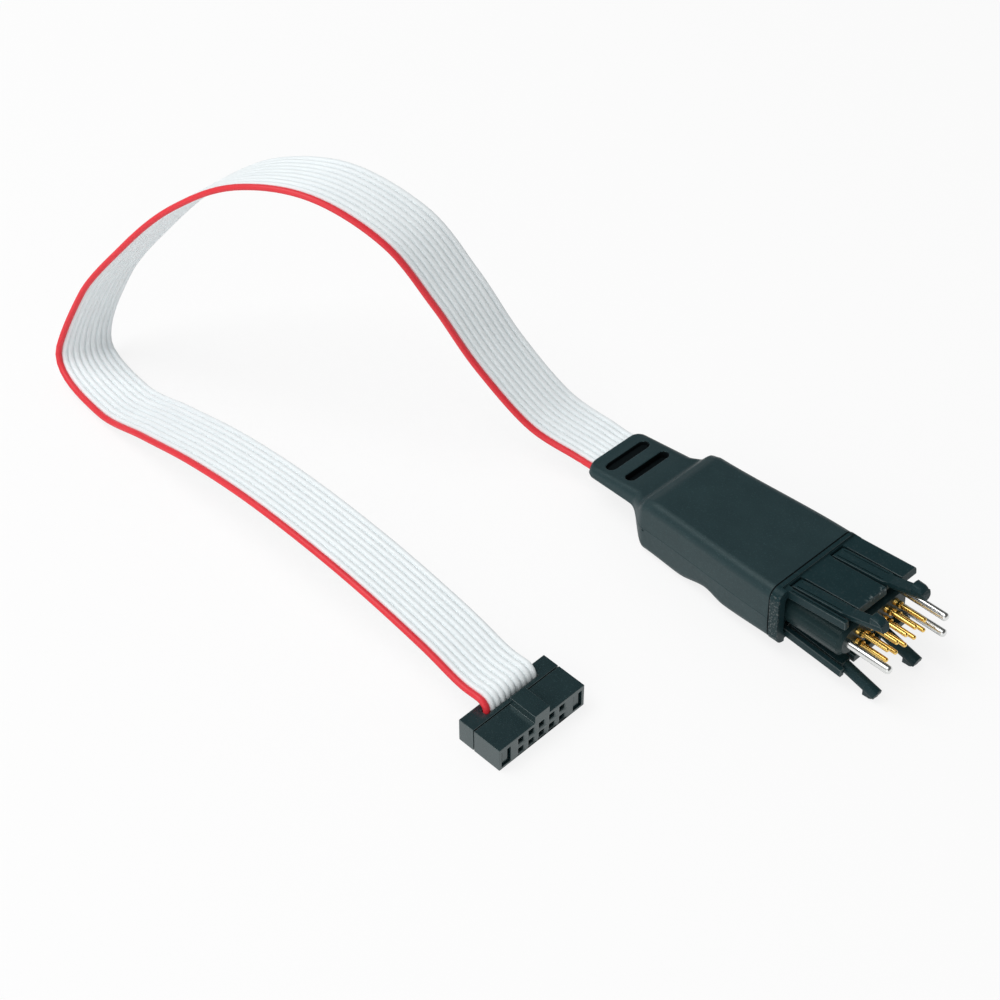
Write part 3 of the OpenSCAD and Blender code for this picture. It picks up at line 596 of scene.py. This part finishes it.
# Paler plastic for the socket's rounded edges and hole mouths: partly rubbed wear, partly a painted
# highlight.
socket_edge_wear_and_highlight = finish(
    "socket_edge_wear_and_highlight", moulded((0.03, 0.045, 0.05), (0.08, 0.1, 0.1), 0.26, 0.2), SOCKET,
    Specular_IOR_Level=0.75, Specular_Tint=GREEN_SHEEN,
)

# %% [markdown]
# ## Metals
# The spring pins are gold over brass, turned on a lathe, so their faint marks run round them. The
# alignment pins are drawn steel wire, with marks that run along them. Both come from noise that is
# stretched in one direction, and so do springs, contacts and bare copper. Solder has no direction.

# %% Metal finishes
MARK = 0.2
ROUND_MARKS = (1.2, 0.4, 0.4)
LONG_MARKS = (0.08, 2, 2)
NO_MARKS = (1, 1, 1)


def drawn_metal(dark, pale, rough, squeeze):
    """A recipe for metal between two colours, with marks that run along or round."""
    def paint(place):
        marks = grain(stretched(place, squeeze), MARK, 3)
        return {
            "Base Color": tint(marks, dark, pale),
            "Roughness": rough + 0.08 * marks,
        }
    return paint


gold = finish(
    "gold", drawn_metal((0.76, 0.47, 0.10), (0.94, 0.66, 0.22), 0.2, ROUND_MARKS), Metallic=1,
)
pin_steel = finish(
    "pin_steel", drawn_metal((0.66, 0.67, 0.66), (0.84, 0.85, 0.84), 0.2, LONG_MARKS), Metallic=1,
)
contact_gold = finish(
    "contact_gold", drawn_metal((0.5, 0.3, 0.07), (0.74, 0.48, 0.14), 0.25, LONG_MARKS), SOCKET, Metallic=1,
)
spring_steel = finish(
    "spring_steel", drawn_metal((0.42, 0.43, 0.44), (0.62, 0.63, 0.64), 0.22, ROUND_MARKS), Metallic=1,
)
solder = finish(
    "solder", drawn_metal((0.5, 0.5, 0.5), (0.72, 0.72, 0.7), 0.3, NO_MARKS), Metallic=1,
)
copper = finish(
    "copper", drawn_metal((0.5, 0.2, 0.08), (0.78, 0.4, 0.22), 0.25, LONG_MARKS), Metallic=1,
)

# %% [markdown]
# ## Board
# The adapter board is glass cloth in green resin. Two noises, one squeezed across the plug and one
# along it, cross each other like the threads of the cloth, and a weave needs no finer drawing here.

# %% Board finish
THREAD = 0.5
WEFT = (1, 6, 1)
WARP = (6, 1, 1)


def glass_board(place):
    weave = grain(stretched(place, WEFT), THREAD) * 0.5 + grain(stretched(place, WARP), THREAD) * 0.5
    return {
        "Base Color": tint(weave, (0.01, 0.07, 0.03), (0.03, 0.16, 0.07)),
        "Roughness": 0.3 + 0.2 * weave,
        "Normal": relief(weave, 0.3, 0.02),
    }


board = finish("board", glass_board)

# %% [markdown]
# ## The boot
# The overmoulded grip is one smooth loft: wide at the seam, a belly with two swellings for the
# fingers, a shoulder, and a flat tail that holds the ribbon. Four tables give its top, its depth, its
# half width and the height of its parting line at places behind the seam, and a section is a rounded
# square that is moved to fit them. Two more points on each side make the line where the halves of
# the mould met, with a little draft.

# %% Boot sections
EDGE_R = 1.05
EDGE_SHARE = 0.45
GRIP = 16.2
TAIL_ROOT = 17.3
TAIL_FROM = 18.8
TAIL_RISE = 0.75
TAIL_CORNER = 0.8
TAIL_HALF_T = 0.7
TAIL_WALL = 0.65
TAIL_SPARE = 0.2
DRAFT = 0.06
MISMATCH = 0.015

boot_end = -boot_low.x
tail_half = inner_high.y + TAIL_WALL
tail_top = RIBBON_Z + TAIL_HALF_T
TOP = (
    (0, boot_high.z), (15.3, boot_high.z - 0.2), (GRIP, boot_high.z - 0.45),
    (TAIL_ROOT, tail_top + TAIL_RISE), (boot_end, tail_top),
)
DEPTH = (
    (0, 3.2), (5.7, 3.45), (8, 2.95), (11.7, 3.75), (GRIP, 3.55), (TAIL_FROM, TAIL_HALF_T - RIBBON_Z),
)
HALF_WIDTH = (
    (0, boot_high.y), (GRIP, boot_high.y - 0.6), (TAIL_FROM, tail_half + TAIL_SPARE), (boot_end, tail_half),
)
PARTING = ((0, -0.4), (GRIP, -0.4), (TAIL_FROM, RIBBON_Z))


def eased(keys, s):
    """A value between two keys, with a soft start and end."""
    for (s0, v0), (s1, v1) in zip(keys, keys[1:]):
        if s <= s1:
            t = (s - s0) / (s1 - s0)
            return v0 + (v1 - v0) * t * t * (3 - 2 * t)
    return keys[-1][1]


def section(corners, face, s):
    """Moves a face's vertices to the boot's section at s behind the seam."""
    into_corner = max(0, s - boot_end + TAIL_CORNER)
    half = eased(HALF_WIDTH, s) - TAIL_CORNER + math.sqrt(TAIL_CORNER**2 - into_corner**2)
    top = eased(TOP, s)
    low = -eased(DEPTH, s)
    parting = eased(PARTING, s)
    r = min(EDGE_R, EDGE_SHARE * (top - low))
    for vert, (side, lift, out, rise) in zip(face.verts, corners):
        inset = MISMATCH if lift > 0 else 0
        if abs(lift) == 1:
            height = top - r if lift > 0 else low + r
            vert.co = (-s, side * (half - inset - DRAFT - r) + r * out, height + r * rise)
        else:
            vert.co = (-s, side * (half - inset), parting + lift * MISMATCH)


print("the boot is", round(boot_end, 2), "mm long")

# %% [markdown]
# A rounded square is bevelled once, and then extruded from station to station while its points are
# moved to the section there. The stations stand closer over the shoulder, and closest at the round
# corners of the tail.

# %% Boot loft
GRIP_STEPS = 40
SHOULDER_STEPS = 14
CORNER_STEPS = 8
EDGE_STEPS = 6
BLANK_R = 0.5
PARTING_LIFT = 0.5
SPLIT = 0.4
SAME = 0.001
boot_stations = [GRIP * k / GRIP_STEPS for k in range(GRIP_STEPS + 1)]
boot_stations += [GRIP + (TAIL_FROM - GRIP) * k / SHOULDER_STEPS for k in range(1, SHOULDER_STEPS + 1)]
boot_stations += [
    boot_end - TAIL_CORNER * (1 - math.sin(math.pi / 2 * k / CORNER_STEPS)) for k in range(CORNER_STEPS + 1)
]

boot = bmesh.new()
bmesh.ops.create_grid(boot, x_segments=1, y_segments=1, size=1)
bmesh.ops.bevel(
    boot, geom=boot.verts[:], offset=BLANK_R, segments=EDGE_STEPS, profile=0.5, affect="VERTICES",
    material=-1,
)
sides = [edge for edge in boot.edges if abs(edge.verts[0].co.x - edge.verts[1].co.x) < SAME]
face = boot.faces[:][0]
corner_of = {}
for vert in face.verts:
    side = math.copysign(1, vert.co.x)
    lift = math.copysign(1, vert.co.y)
    out = (vert.co.x - side * (1 - BLANK_R)) / BLANK_R
    rise = (vert.co.y - lift * (1 - BLANK_R)) / BLANK_R
    corner_of[vert] = (side, lift, out, rise)
for edge in sides:
    below = min(edge.verts, key=lambda vert: vert.co.y)
    side = math.copysign(1, below.co.x)
    split, vert = bmesh.utils.edge_split(edge, below, SPLIT)
    corner_of[vert] = (side, -PARTING_LIFT, 0, 0)
    above = split if below not in split.verts else edge
    split, vert = bmesh.utils.edge_split(above, vert, SPLIT)
    corner_of[vert] = (side, PARTING_LIFT, 0, 0)
corners = [corner_of[vert] for vert in face.verts]
section(corners, face, 0)
for s in boot_stations[1:]:
    grown = bmesh.ops.extrude_face_region(boot, geom=[face, *face.edges])["geom"]
    face = next(part for part in grown if isinstance(part, bmesh.types.BMFace))
    section(corners, face, s)
bmesh.ops.recalc_face_normals(boot, faces=boot.faces)
print("boot loft of", len(boot_stations), "sections")

# %% [markdown]
# The tail's two slots, the passage for the ribbon and a small nick on the near side are cut out of
# the loft. A Boolean modifier does that on two throwaway objects, and its result comes back as a
# mesh.

# %% Cutting tools
def carve(bm, cutter):
    """The bmesh less the cutter. Both are used up."""
    made = []
    for each in (bm, cutter):
        mesh = bpy.data.meshes.new("carving")
        each.to_mesh(mesh)
        each.free()
        made.append(bpy.data.objects.new("carving", mesh))
        scene.collection.objects.link(made[-1])
    cut = made[0].modifiers.new("cut", "BOOLEAN")
    cut.operation = "DIFFERENCE"
    cut.solver = "EXACT"
    cut.object = made[1]
    carved = made[0].evaluated_get(bpy.context.evaluated_depsgraph_get()).to_mesh()
    result = bmesh.new()
    result.from_mesh(carved)
    for each in made:
        bpy.data.meshes.remove(each.data)
    return result


def block(bm, low, high):
    """A box between two corners, added to a bmesh."""
    verts = bmesh.ops.create_cube(bm, size=1)["verts"]
    low, high = Vector(low), Vector(high)
    bmesh.ops.scale(bm, vec=high - low, verts=verts)
    bmesh.ops.translate(bm, vec=(low + high) / 2, verts=verts)
    return verts


# %% Boot cuts
SLOT_W = 1.1
SLOT_SPAN = 4.3
SLOT_PLACES = (1.9, 4.5)
SLOT_FLOOR = RIBBON_Z + 0.38
SLOT_CEILING = tail_top + 2
SLOT_END_R = SLOT_W * 0.499
SLOT_END_STEPS = 10
PASSAGE_GAP = 0.03
PASSAGE_HALF = 0.33
PASSAGE_SPARE = 1
NICK_R = 0.17
NICK_AT = (-16.1, 0.55 - boot_high.y, -0.65)

cutter = bmesh.new()
for inset in SLOT_PLACES:
    low = (inset - boot_end - SLOT_W / 2, -(SLOT_SPAN + SLOT_W) / 2, SLOT_FLOOR)
    high = (inset - boot_end + SLOT_W / 2, (SLOT_SPAN + SLOT_W) / 2, SLOT_CEILING)
    made = block(cutter, low, high)
    slot_ends = [edge for edge in cutter.edges if edge.verts[0] in made
                 and abs(edge.verts[0].co.z - edge.verts[1].co.z) > SAME]
    bmesh.ops.bevel(
        cutter, geom=slot_ends, offset=SLOT_END_R, segments=SLOT_END_STEPS, profile=0.5, affect="EDGES",
        material=-1,
    )
boot = carve(boot, cutter)
cutter = bmesh.new()
passage = inner_high.y + PASSAGE_GAP
low = (-boot_end - PASSAGE_SPARE, -passage, RIBBON_Z - PASSAGE_HALF)
block(cutter, low, (inner_high.x, passage, RIBBON_Z + PASSAGE_HALF))
boot = carve(boot, cutter)
cutter = bmesh.new()
nick = bmesh.ops.create_icosphere(cutter, subdivisions=3, radius=NICK_R)["verts"]
bmesh.ops.translate(cutter, vec=NICK_AT, verts=nick)
boot = carve(boot, cutter)
print("slots, passage and nick cut")

# %% [markdown]
# A mould leaves no knife edges: the rims of the slots are eased over, and the rim at the seam is
# broken. The broken rim and the insides of the slots get the painted shade, a dark finish for where
# light hardly reaches, which draws the fine line between boot and shell.

# %% Boot edges
RIM_ANGLE = 0.9
RIM = 0.14
RIM_DEPTH = 0.1
SEAM_BREAK = 0.09
TOUCH = 0.01
LEVEL = 0.9
UPRIGHT = 0.1


def hard_edges(bm, angle, chosen):
    """The edges that turn by more than an angle and whose middle is chosen."""
    return [edge for edge in bm.edges
            if len(edge.link_faces) == 2 and edge.calc_face_angle(0) > angle
            and chosen((edge.verts[0].co + edge.verts[1].co) / 2)]


def in_slots(at, from_z):
    """Whether a point is within the outline of the slots and above a height."""
    reach = SLOT_W / 2 + TOUCH
    along = any(abs(at.x + boot_end - inset) < reach for inset in SLOT_PLACES)
    return along and abs(at.y) < SLOT_SPAN / 2 + reach and at.z > from_z


# The floors and walls of the slots get the painted shade.
for face in boot.faces:
    plain = face.normal.z > LEVEL or abs(face.normal.z) < UPRIGHT
    if plain and in_slots(face.calc_center_median(), SLOT_FLOOR - TOUCH):
        face.material_index = 1
rims = hard_edges(boot, RIM_ANGLE, lambda at: in_slots(at, tail_top - RIM_DEPTH))
bmesh.ops.bevel(boot, geom=rims, offset=RIM, segments=3, profile=0.5, affect="EDGES", material=-1)
seam_rim = hard_edges(boot, RIM_ANGLE, lambda at: at.x > -SAME)
broken = bmesh.ops.bevel(
    boot, geom=seam_rim, offset=SEAM_BREAK, segments=2, profile=0.5, affect="EDGES", material=-1,
)
# The broken seam rim gets the painted shade too.
for face in broken["faces"]:
    face.material_index = 1
flat_faces(shown_as("boot", boot, [boot_plastic, slot_shade], "plug", ["overmould_boot"]))

# %% [markdown]
# ## Mouldings with square outlines
# The shell, the pin block, the legs and the socket's two halves already have the right outline in
# the solids. What they lack is the small radius that every moulded edge has and that catches the
# light. A copy of the solid's mesh is welded, its flat faces are joined again, and its hard edges
# are bevelled. The narrow new faces can get a finish of their own: a paler plastic that is partly
# rubbed wear and partly a painted highlight along the edge.

# %% Softened mouldings
WELD = 0.0005
FLAT = math.radians(2)
CREASE = math.radians(28)


def joined(node, own_axes):
    """A copy of a CAD node along a piece's own axes, in millimetres, with its flat faces whole again."""
    bm = bmesh.new()
    bm.from_mesh(frame["nodes"][node].data)
    bmesh.ops.transform(bm, matrix=own_axes.inverted(), verts=bm.verts)
    bmesh.ops.remove_doubles(bm, verts=bm.verts, dist=WELD)
    bmesh.ops.dissolve_limit(bm, angle_limit=FLAT, verts=bm.verts, edges=bm.edges)
    return bm


def rounded(bm, radius, chosen=lambda at: True, segments=2, look=1):
    """Rounds the chosen edges and says which of the piece's finishes the new faces get."""
    edges = hard_edges(bm, CREASE, chosen)
    rubbed_and_highlit = bmesh.ops.bevel(
        bm, geom=edges, offset=radius, segments=segments, profile=0.5, affect="EDGES", material=-1,
    )
    # The new faces take a finish by number; a pale edge finish there is partly a painted highlight.
    for face in rubbed_and_highlit["faces"]:
        face.material_index = look
    return bm


print("edges over", round(math.degrees(CREASE)), "degrees are rounded")

# %% [markdown]
# The strips and rails of the shell carry fine grooves beside their slits, which the mould draws along
# the plug. They lean outwards with the strip. They are cut before the edges are rounded, and their
# own edges stay sharp.

# %% Grooves
ROOT = Vector((1.05, 0, 2.425))
STRIP_T = 0.85
GROOVE_W = 0.11
GROOVE_D = 0.14
GROOVE_FROM = 0.15


def leaning(lean, side):
    """The axes of a strip that leans outwards, above the pins (side 1) or below them (side -1)."""
    flip = Matrix.Diagonal((1, 1, side, 1))
    return flip @ Matrix.Translation(ROOT) @ Matrix.Rotation(-lean, 4, "Y")


def grooved(bm, strip, places, length):
    """Cuts a groove along a strip at each of those places across it."""
    for y in places:
        cutter = bmesh.new()
        low = (GROOVE_FROM, y - GROOVE_W / 2, STRIP_T / 2 - GROOVE_D)
        verts = block(cutter, low, (length, y + GROOVE_W / 2, STRIP_T))
        bmesh.ops.transform(cutter, matrix=strip, verts=verts)
        bmesh.ops.recalc_face_normals(cutter, faces=cutter.faces)
        bm = carve(bm, cutter)
    return bm


def off_grooves(strip, places):
    """A test for points that don't lie in a strip's grooves."""
    back = strip.inverted()

    def clear(at):
        spot = back @ at
        return spot.z < 0 or all(abs(spot.y - y) > GROOVE_W for y in places)
    return clear


print("grooves", GROOVE_W, "mm wide and", GROOVE_D, "mm deep")

# %% [markdown]
# The shell is a collar with two panels above the pins and two below. The gaps between collar and
# panels are too narrow for round edges, so those are left alone, apart from the rim of the collar's
# step, whose pale edge finish is partly rubbed wear and partly a painted highlight. The rim at the
# seam gets the painted shade, as on the boot.

# %% Shell
PANEL_LEAN = math.radians(5)
RAIL_Y = -4.12
RAIL_LEN = 6.3
SHELL_EDGE_R = 0.07
SEAM_ZONE = 0.1
STEP_X = 0.5
STEP_Y = 4.4
STEP_Z = 2.95
GAPS_FROM = STEP_X - 0.1
GAPS_TO = ROOT.x + 0.3

shell = joined("front_shell", PLUG)
rails = [leaning(PANEL_LEAN, side) for side in (1, -1)]
for rail in rails:
    shell = grooved(shell, rail, [RAIL_Y], RAIL_LEN)
clear_of_rails = [off_grooves(rail, [RAIL_Y]) for rail in rails]


def shell_edges(at):
    """Edges of the collar's ends and of the panels, but not the narrow gaps between them."""
    in_gaps = GAPS_FROM < at.x < GAPS_TO
    # The step's rim gets the pale edge finish, partly a painted highlight on the step.
    step_rim = abs(at.x - STEP_X) < TOUCH and abs(at.z) > STEP_Z and abs(at.y) < STEP_Y
    return (step_rim or not in_gaps) and all(clear(at) for clear in clear_of_rails)


rounded(shell, SHELL_EDGE_R, shell_edges)
# The bevel faces of the rim at the seam get the painted shade.
for face in shell.faces:
    if face.material_index == 1 and face.calc_center_median().x < SEAM_ZONE:
        face.material_index = 2
shell_finishes = [shell_plastic, shell_edge_wear_and_highlight, slot_shade]
flat_faces(shown_as("shell", shell, shell_finishes, "plug", ["front_shell"]))

# %% [markdown]
# The bar that carries the pins has a sloping front, and the line where the slope begins stays as it
# is. Each leg is a strip with a finger and a hooked head. The faces of a finger are long and narrow,
# and a change of shading at one corner would run along the whole of them. So each finger is cut by
# three rings, which keep such a change at the neck or at the hook.

# %% Pin bar and legs
BAR_SLOPE = 6.8
SLOPE_ZONE = 0.05
BAR_EDGE_R = 0.03
STRIP_LEAN = math.radians(6.5)
STRIP_LEN = 5.3
GROOVE_IN = 0.27
FINGER_RINGS = (7.08, 7.35, 9.05)
LEG_EDGE_R = 0.045

bar = joined("pin_block", PLUG)
rounded(bar, BAR_EDGE_R, lambda at: abs(at.x - BAR_SLOPE) > SLOPE_ZONE, look=0)
flat_faces(shown_as("pin_bar", bar, [block_plastic], "plug", ["pin_block"]))
# The legs' rounded edges get the pale edge finish, partly rubbed wear and partly a painted highlight.
leg_finishes = [shell_plastic, shell_edge_wear_and_highlight]
for side, level in ((1, "upper"), (-1, "lower")):
    strip = leaning(STRIP_LEAN, side)
    for leg in ("leg_near_" + level, "leg_far_" + level):
        low, high = extent(leg, PLUG)
        places = [low.y + GROOVE_IN, high.y - GROOVE_IN]
        leg_mesh = grooved(joined(leg, PLUG), strip, places, STRIP_LEN)
        for x in FINGER_RINGS:
            whole = leg_mesh.verts[:] + leg_mesh.edges[:] + leg_mesh.faces[:]
            bmesh.ops.bisect_plane(leg_mesh, geom=whole, plane_co=(x, 0, 0), plane_no=(1, 0, 0))
        rounded(leg_mesh, LEG_EDGE_R, off_grooves(strip, places))
        flat_faces(shown_as(leg + "_moulding", leg_mesh, leg_finishes, leg, [leg]))

# %% [markdown]
# The socket's two halves are plain boxes, but the mouths of its ten holes are cut wide, to catch pins
# that come in a little off. That chamfer is made first, on the edges of the holes at the front face.

# %% Socket
MOUTH_CHAMFER = 0.1
FRONT_FACE = -0.02
FIELD_HALF = 3.2
FIELD_FOOT = 0.1
FIELD_TOP = 2.4
HOUSING_EDGE_R = 0.04
COVER_EDGE_R = 0.05


def at_mouths(at):
    """Whether a point lies on the front face within the field of holes."""
    return at.x > FRONT_FACE and abs(at.y) < FIELD_HALF and FIELD_FOOT < at.z < FIELD_TOP


housing_mesh = joined("socket_body", SOCKET)
# The hole mouths and the other edges get the pale edge finish, partly rubbed wear and partly a painted
# highlight.
rounded(housing_mesh, MOUTH_CHAMFER, at_mouths, 1)
rounded(housing_mesh, HOUSING_EDGE_R, lambda at: not at_mouths(at))
cover_mesh = rounded(joined("socket_cover", SOCKET), COVER_EDGE_R)
socket_finishes = [socket_plastic, socket_edge_wear_and_highlight]
housing = shown_as(
    "socket_housing", housing_mesh, socket_finishes, "plug", ["socket_body"], SOCKET,
)
cover = shown_as(
    "socket_clamp", cover_mesh, socket_finishes, "plug", ["socket_cover"], SOCKET,
)
flat_faces(housing)
flat_faces(cover)

# %% [markdown]
# ## Alignment pins
# Pins are turned parts, so each is half an outline, spun once round its own line, with its tip
# rounded by a bevel. The three steel pins are longer than the others, to find the holes of a board
# first, and each sits in the bar by a thinner tang.

# %% Alignment pins
AROUND = 32
TIP_STEPS = 6
BLOCK_FACE = 7.2
STEEL_TANG = 0.2
STEEL_TIP_R = 0.3


def turned_pin(bm, outline, y, z):
    """Spins an outline of (along, radius) points round the line at y, z."""
    verts = [bm.verts.new((x, y + r, z)) for x, r in outline]
    edges = [bm.edges.new(pair) for pair in zip(verts, verts[1:])]
    bmesh.ops.spin(
        bm, geom=verts + edges, cent=(0, y, z), axis=(1, 0, 0), angle=2 * math.pi, steps=AROUND,
        use_merge=True,
    )


def closed_pin(bm):
    """Welds points that meet, and turns every face outwards."""
    bmesh.ops.remove_doubles(bm, verts=bm.verts, dist=WELD)
    bmesh.ops.recalc_face_normals(bm, faces=bm.faces)


def round_tip(bm, tip_x, radius):
    """Rounds the rim that stands furthest out."""
    rim = hard_edges(bm, RIM_ANGLE, lambda at: at.x > tip_x - SAME)
    bmesh.ops.bevel(
        bm, geom=rim, offset=radius, segments=TIP_STEPS, profile=0.5, affect="EDGES", material=-1,
    )


for place in ("near", "far_upper", "far_lower"):
    node = "alignment_pin_" + place
    low, high = extent(node, PLUG)
    middle = (low + high) / 2
    radius = (high.y - low.y) / 2
    tang = [(low.x, 0), (low.x, STEEL_TANG), (BLOCK_FACE, STEEL_TANG)]
    shank = [(BLOCK_FACE, radius), (high.x, radius), (high.x, 0)]
    pin = bmesh.new()
    turned_pin(pin, tang + shank, middle.y, middle.z)
    closed_pin(pin)
    round_tip(pin, high.x, STEEL_TIP_R)
    shown_as(node + "_turned", pin, [pin_steel], "plug", [node])

# %% [markdown]
# ## Spring pins
# A spring pin is a barrel with a rolled mouth, a plunger that slides in it, and a coil spring behind
# the plunger. Barrel and plunger are spun as the other pins are. The coil is the same operator with a
# step along the axis at each turn, which draws a helix out of one small ring of wire.

# %% Barrel and coil
BORE_R = 0.27
BORE_DEPTH = 6.07
BARREL_R = 0.34
LIP_R = 0.24
LIP = 0.25
CRIMP = 0.03
CRIMP_PLACES = (0.48, 0.42, 0.32, 0.26)
SPRING_WIRE_R = 0.03
SPRING_GAP = 0.02
WIRE_SIDES = 8
COILS = 10
COIL_STEPS = 14


def rolled_barrel(bm, back, mouth, y, z):
    """A closed tube with a crimped and rolled mouth."""
    tube = [(back, 0), (back, BARREL_R)]
    crimp_radii = (BARREL_R, BARREL_R - CRIMP, BARREL_R - CRIMP, BARREL_R)
    crimp = [(mouth - behind, radius) for behind, radius in zip(CRIMP_PLACES, crimp_radii)]
    rim_out = [(mouth - CRIMP, BARREL_R), (mouth, BARREL_R - CRIMP)]
    rim_in = [(mouth, LIP_R + CRIMP), (mouth - CRIMP, LIP_R)]
    lip = [(mouth - LIP, LIP_R), (mouth - LIP, BORE_R)]
    bore = [(mouth - BORE_DEPTH, BORE_R), (mouth - BORE_DEPTH, 0)]
    turned_pin(bm, tube + crimp + rim_out + rim_in + lip + bore, y, z)


def coil(bm, back, length, y, z):
    """A helix of wire, spun from one ring."""
    radius = BORE_R - SPRING_GAP - SPRING_WIRE_R
    ring = bmesh.ops.create_circle(bm, segments=WIRE_SIDES, radius=SPRING_WIRE_R)["verts"]
    start = Matrix.Translation((back + SPRING_WIRE_R, y, z + radius))
    bmesh.ops.transform(bm, matrix=start @ Matrix.Rotation(math.pi / 2, 4, "X"), verts=ring)
    steps = COILS * COIL_STEPS
    rise = (length - 2 * SPRING_WIRE_R) / steps
    bmesh.ops.spin(
        bm, geom=ring + bm.edges[:], cent=(back, y, z), axis=(1, 0, 0), dvec=(rise, 0, 0),
        angle=2 * math.pi * COILS, steps=steps,
    )
    bmesh.ops.holes_fill(bm, edges=[edge for edge in bm.edges if edge.is_boundary], sides=0)


print("barrel wall", round(BARREL_R - BORE_R, 2), "mm, springs of", COILS, "turns")

# %% [markdown]
# The ten pins stand where the solids' plungers stand. All barrels are one piece, since none of them
# moves. Each plunger rides on its own body, and each spring is a piece of its own on the plug, with
# its own copy of the mesh.

# %% Ten spring pins
HEAD_R = 0.25
HEAD_BACK = 1.07
NECK_GAP = 0.02
STEM_R = 0.22
STEM_TIP_R = STEM_R * 0.8

barrels = bmesh.new()
barrel_back = extent("pin_barrels", PLUG)[0].x
for way in range(1, WAYS + 1):
    node = f"plunger_{way}"
    low, high = extent(node, PLUG)
    y, z = (low.y + high.y) / 2, (low.z + high.z) / 2
    mouth = low.x + HEAD_BACK
    rolled_barrel(barrels, barrel_back, mouth, y, z)
    neck = mouth - LIP - NECK_GAP
    head = [(low.x, 0), (low.x, HEAD_R), (neck, HEAD_R)]
    stem = [(neck, STEM_R), (high.x, STEM_R), (high.x, 0)]
    plunger = bmesh.new()
    turned_pin(plunger, head + stem, y, z)
    closed_pin(plunger)
    round_tip(plunger, high.x, STEM_TIP_R)
    shown_as(node + "_turned", plunger, [gold], node, [node])
    spring = bmesh.new()
    spring_back = mouth - BORE_DEPTH
    spring_length = low.x - spring_back
    coil(spring, spring_back, spring_length, y, z)
    closed_pin(spring)
    wound = shown_as(
        f"spring_{way}_coil", spring, [spring_steel], "plug", [f"spring_{way}"],
    )
    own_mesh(wound)
closed_pin(barrels)
shown_as("barrels", barrels, [gold], "plug", ["pin_barrels"])

# %% [markdown]
# ## Nodes that keep their own mesh
# Board, solder, wire ends, contacts and the ribbon inside the tail are hidden or nearly so, and the
# solids already have their shapes. They only get their finish.

# %% Nodes that keep their own mesh
KEPT = {
    "adapter_board": ("board", board),
    "solder_joints": ("solder", solder),
    "conductor_ends": ("copper", copper),
    "ribbon_plug_end": ("ribbon", ribbon_vinyl),
    "socket_contacts": ("contact_gold", contact_gold),
}
for node, (slot, look) in KEPT.items():
    kept = frame["nodes"][node]
    kept.data.materials.clear()
    kept.data.materials.append(look)
print("kept nodes:", ", ".join(KEPT))

# %% [markdown]
# ## The cord's route
# The ribbon shows from end to end, so its length is what the route measures. The socket is on its
# far end.

# %% Cord
[tuple(point) for point in ribbon_path]
print("cord of", len(ribbon_path), "points, from the tail to", housing.name)
